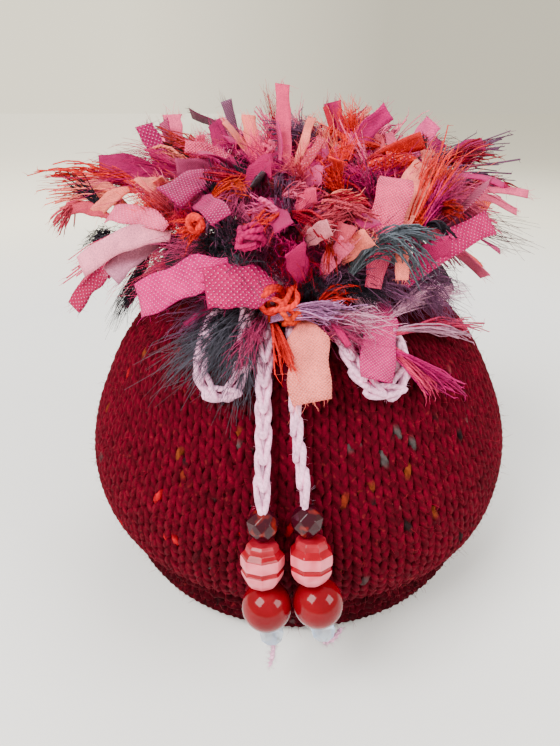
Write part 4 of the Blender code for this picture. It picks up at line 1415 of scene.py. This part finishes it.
def add_crown(parts, colours, weights, rng):
    """Fluff, knots and ends that cover the collar and fill the mop's crown, shorter in front."""
    golden = math.pi * (3.0 - math.sqrt(5.0))
    for number in range(CROWN_ENDS):
        radius = CROWN_RADIUS * math.sqrt((number + 0.5) / CROWN_ENDS)
        angle = golden * number
        x, y = radius * math.sin(angle), -radius * math.cos(angle)
        place = np.array((x, y, crown_height(x, y)))
        heading = unit(np.array((x, y, 0.0)) * 10.0 + (0.0, 0.0, 0.55) + 0.60 * rng.normal(size=3))
        front = y < -0.012 and abs(x) < 0.045
        if front:
            name = FRONT_FILLING[rng.integers(len(FRONT_FILLING))]
        else:
            name = colours[rng.choice(len(colours), p=weights)]
        tint = np.array(PALETTE[name])
        root = place - heading * 0.009
        pick = rng.uniform()
        rise = 0.003 * rng.normal(size=3)
        fur_share, knot_share = (0.62, 0.74) if front else (0.26, 0.38)
        if pick < fur_share:
            reach, width = (0.003, 0.008) if front else (0.008, 0.011)
            tip = place + heading * reach * rng.uniform(0.6, 1.3)
            add_fur(parts, root, tip, rise, width * rng.uniform(0.8, 1.2), tint, rng, 50)
        elif pick < knot_share:
            add_knot(parts, place - heading * 0.003, rng.uniform(0.0030, 0.0045), tint, rng)
        elif front:
            add_tuft(parts, root, place + heading * 0.008, rise, 0.005, tint, rng, 22)
        else:
            tip = place + heading * rng.uniform(0.010, 0.020)
            outward = unit(np.array((0.0, -0.6, 0.7)) + 0.5 * rng.normal(size=3))
            add_end(parts, root, tip, rise, tint, outward, rng)


def add_named(parts, ends, hairs_per_width, in_front, rng):
    """The yarn ends of a table. Those in front lie on the crown's surface, not inside it."""
    for row in ends.strip().splitlines():
        kind, colour, *numbers = row.split()
        width, rise = float(numbers[0]), float(numbers[-1])
        clearances = CLEARANCES.get(kind, RIBBON_CLEARANCE) if in_front else (None, None)
        root = photo_place(*numbers[1:4], clearances[0])
        tip = photo_place(*numbers[4:7], clearances[1])
        lift = np.array((0.0, 0.0, rise * 0.001))
        tint = np.array(PALETTE[colour]) * rng.uniform(0.9, 1.1)
        wide = width * 0.001
        if kind == "brush":
            add_tuft(parts, root, tip, lift, wide, tint, rng, 6 + int(width * 4.6))
        elif kind == "fur":
            add_fur(parts, root, tip, lift, wide, tint, rng, 50 + int(width * hairs_per_width))
        elif kind == "knot":
            add_knot(parts, root, wide * 0.5, tint, rng)
        else:
            add_ribbon(parts, kind, root, tip, lift, wide, tint, rng, NAMED_FACING,
                       roll=rng.uniform(-0.2, 0.2), curl=rng.uniform(0.05, 0.25), twist=0.12)


def add_rim(parts, colours, weights, rng):
    """Random ends round the rim, behind the front sector."""
    for root_radius, root_height, tip_radius, tip_height, count in RIM:
        for number in range(count):
            angle = TAU * (number + rng.uniform(-0.4, 0.4)) / count
            away = (angle + math.pi) % TAU - math.pi
            if abs(away) < FRONT_SECTOR and tip_radius > 0.05:
                continue
            tilt = 0.12 * math.cos(angle)
            turn = angle + rng.uniform(-0.45, 0.45)
            reach = tip_radius * rng.uniform(0.80, 1.03)
            root = around(root_radius, angle, root_height - tilt * root_radius)
            tip = around(reach, turn, tip_height - tilt * reach + rng.uniform(-0.007, 0.007))
            rise = np.array((0.0, 0.0, rng.uniform(0.002, 0.009)))
            outward = around(0.5, angle, 0.8) + 0.35 * rng.normal(size=3)
            tint = np.array(PALETTE[colours[rng.choice(len(colours), p=weights)]])
            add_end(parts, root, tip, rise, tint, unit(outward), rng)


def make_mop(materials):
    rng = np.random.default_rng(17)
    named = {part: Piece() for part in ("dotted", "woven", "plain", "strands", "hairs")}
    filling = {**named, "hairs": Piece()}
    colours = list(FILLING)
    weights = np.array(list(FILLING.values()), float)
    weights = weights / weights.sum()
    add_named(named, ENDS, HAIRS_IN_FRONT, True, rng)
    add_rim(filling, colours, weights, rng)
    add_crown(filling, colours, weights, rng)
    add_named(named, SHADE_BACKING, HAIRS_BEHIND, False, rng)
    pieces = (
        ("mop_dotted_ribbons", named["dotted"], "dotted"),
        ("mop_woven_ribbons", named["woven"], "woven"),
        ("mop_plain_ribbons", named["plain"], "plain"),
        ("mop_yarn_ends", named["strands"], "strand"),
        ("mop_eyelash_hairs", named["hairs"], "hair"),
        ("mop_crown_fluff", filling["hairs"], "hair"),
        ("mop_collar", collar_piece(), "cloth"),
    )
    for name, piece, material in pieces:
        piece.make(name, materials[material], "mop", "ribbon_yarn")


# The floor and the light

# Where the sky's two tones lie, from low to high
SKY_TONES = ((0.25, (0.98, 0.90, 0.70, 1.0)), (0.45, (1.0, 0.98, 0.93, 1.0)))
SKY_STRENGTH = 0.88
WALL_GLOW = 0.75
# How strongly the floor far out on the left glows: painted light
FLOOR_GLOW = 0.85
FLOOR_REACH = 4
# Place, size, watts, colour
LAMPS = (
    ((-0.55, -0.45, 0.85), 0.6, 21.0, (1.0, 0.98, 0.96)),
    ((0.75, -0.35, 0.60), 0.5, 9.0, (1.0, 0.99, 0.97)),
    ((0.10, 0.75, 0.80), 0.8, 7.0, (1.0, 1.0, 1.0)),
)
LIT_PLACE = (0.0, 0.0, 0.08)


def make_sky():
    """A warm tone low down, soft white above, and a brighter wall behind on the left."""
    nodes = Nodes(bpy.data.worlds.new("studio"), "Background")
    x, y, z = nodes.split(nodes.place("Generated"))
    tones = nodes.add("ValToRGB")
    for stop, (position, colour) in zip(tones.color_ramp.elements, SKY_TONES):
        stop.position = position
        stop.color = colour
    wall = nodes.math("MULTIPLY", nodes.ramp(x, 0.16, -0.22), nodes.ramp(z, 0.30, 0.15))
    wall = nodes.math("MULTIPLY", wall, nodes.ramp(y, 0.5, 0.8))
    strength = nodes.math("MULTIPLY_ADD", wall, WALL_GLOW, SKY_STRENGTH)
    nodes.set(Color=nodes.value(tones, z), Strength=strength)
    bpy.context.scene.world = nodes.owner


def floor_material():
    """A pale floor that turns warmer further out, and glows far out on the left: painted light, as from a
    bright wall there.
    """
    nodes = Nodes(bpy.data.materials.new("pale_floor"))
    near = nodes.mix(nodes.patches(3.0, 0.0, 1.0), (0.83, 0.82, 0.80, 1.0), (0.87, 0.86, 0.83, 1.0))
    distance = nodes.add("VectorMath", operation="LENGTH")
    nodes.feed(distance.inputs[0], nodes.place())
    far = nodes.ramp(distance.outputs["Value"], 0.35, 0.75)
    left = nodes.ramp(nodes.math("MULTIPLY", nodes.split(nodes.place())[0], -1.0), -0.35, 0.55)
    # Painted light: the floor far out on the left glows.
    glow = nodes.math("MULTIPLY", nodes.math("MULTIPLY", far, left), FLOOR_GLOW)
    nodes.set(Base_Color=nodes.mix(far, near, (0.98, 0.92, 0.74, 1.0)), Emission_Strength=glow,
              Emission_Color=(1.0, 0.93, 0.76, 1.0), Roughness=0.8, Specular_IOR_Level=0.2)
    return nodes.owner


def make_stage():
    mesh = bpy.data.meshes.new("floor")
    corners = [(x * FLOOR_REACH, y * FLOOR_REACH, 0) for x, y in ((-1, -1), (1, -1), (1, 1), (-1, 1))]
    mesh.from_pydata(corners, [], [(0, 1, 2, 3)])
    mesh.materials.append(floor_material())
    linked("floor", mesh)
    make_sky()
    for number, (place, size, watts, colour) in enumerate(LAMPS):
        data = bpy.data.lights.new("lamp", "AREA")
        data.size = size
        data.energy = watts
        data.color = colour
        aim(linked("lamp_%d" % number, data), place, LIT_PLACE)


make_camera()
cotton = yarn_material("lilac_cotton", 0.0022, 0.00018, roughness=0.75, dark=0.85, specular=0.15)
chains, threads = make_drawstring(cotton)
make_beads()
declare_cords(chains, threads)
kit = {
    "tweed": yarn_material("crimson_tweed", 0.0042, 0.00024, roughness=0.95, dark=0.60, specular=0.06,
                           sheen=0.05, sheen_tint=(0.9, 0.05, 0.08, 1.0), fleck=0.2),
    "cloth": cloth_material(),
    "hair": hair_material(),
    "dotted": ribbon_material("dotted_ribbon", 0.0018, 0.88, 0.96, (0.96, 0.42, 0.62, 1.0), 0.60, 0.0003),
    "woven": ribbon_material("woven_ribbon", 0.0011, 0.55, 0.80, (0.96, 0.45, 0.52, 1.0), 0.30, 0.0003),
    "plain": ribbon_material("plain_ribbon", 0.0007, 0.60, 0.90, (0.90, 0.20, 0.34, 1.0), 0.10, 0.0002,
                             roughness=0.5),
    "strand": yarn_material("slub_yarn", 0.0016, 0.00018, roughness=0.7, dark=0.65, specular=0.12),
}
# Name, way it faces, seed, points of the yarn in a stitch, fibres of its fuzz
PANELS = (
    ("panel_front", 0.0, 3, 12, 2600),
    ("panel_back", math.pi, 4, 8, 1400),
)
for panel in PANELS:
    cloth, stitches = make_panel(*panel, kit)
make_mop(kit)
make_stage()
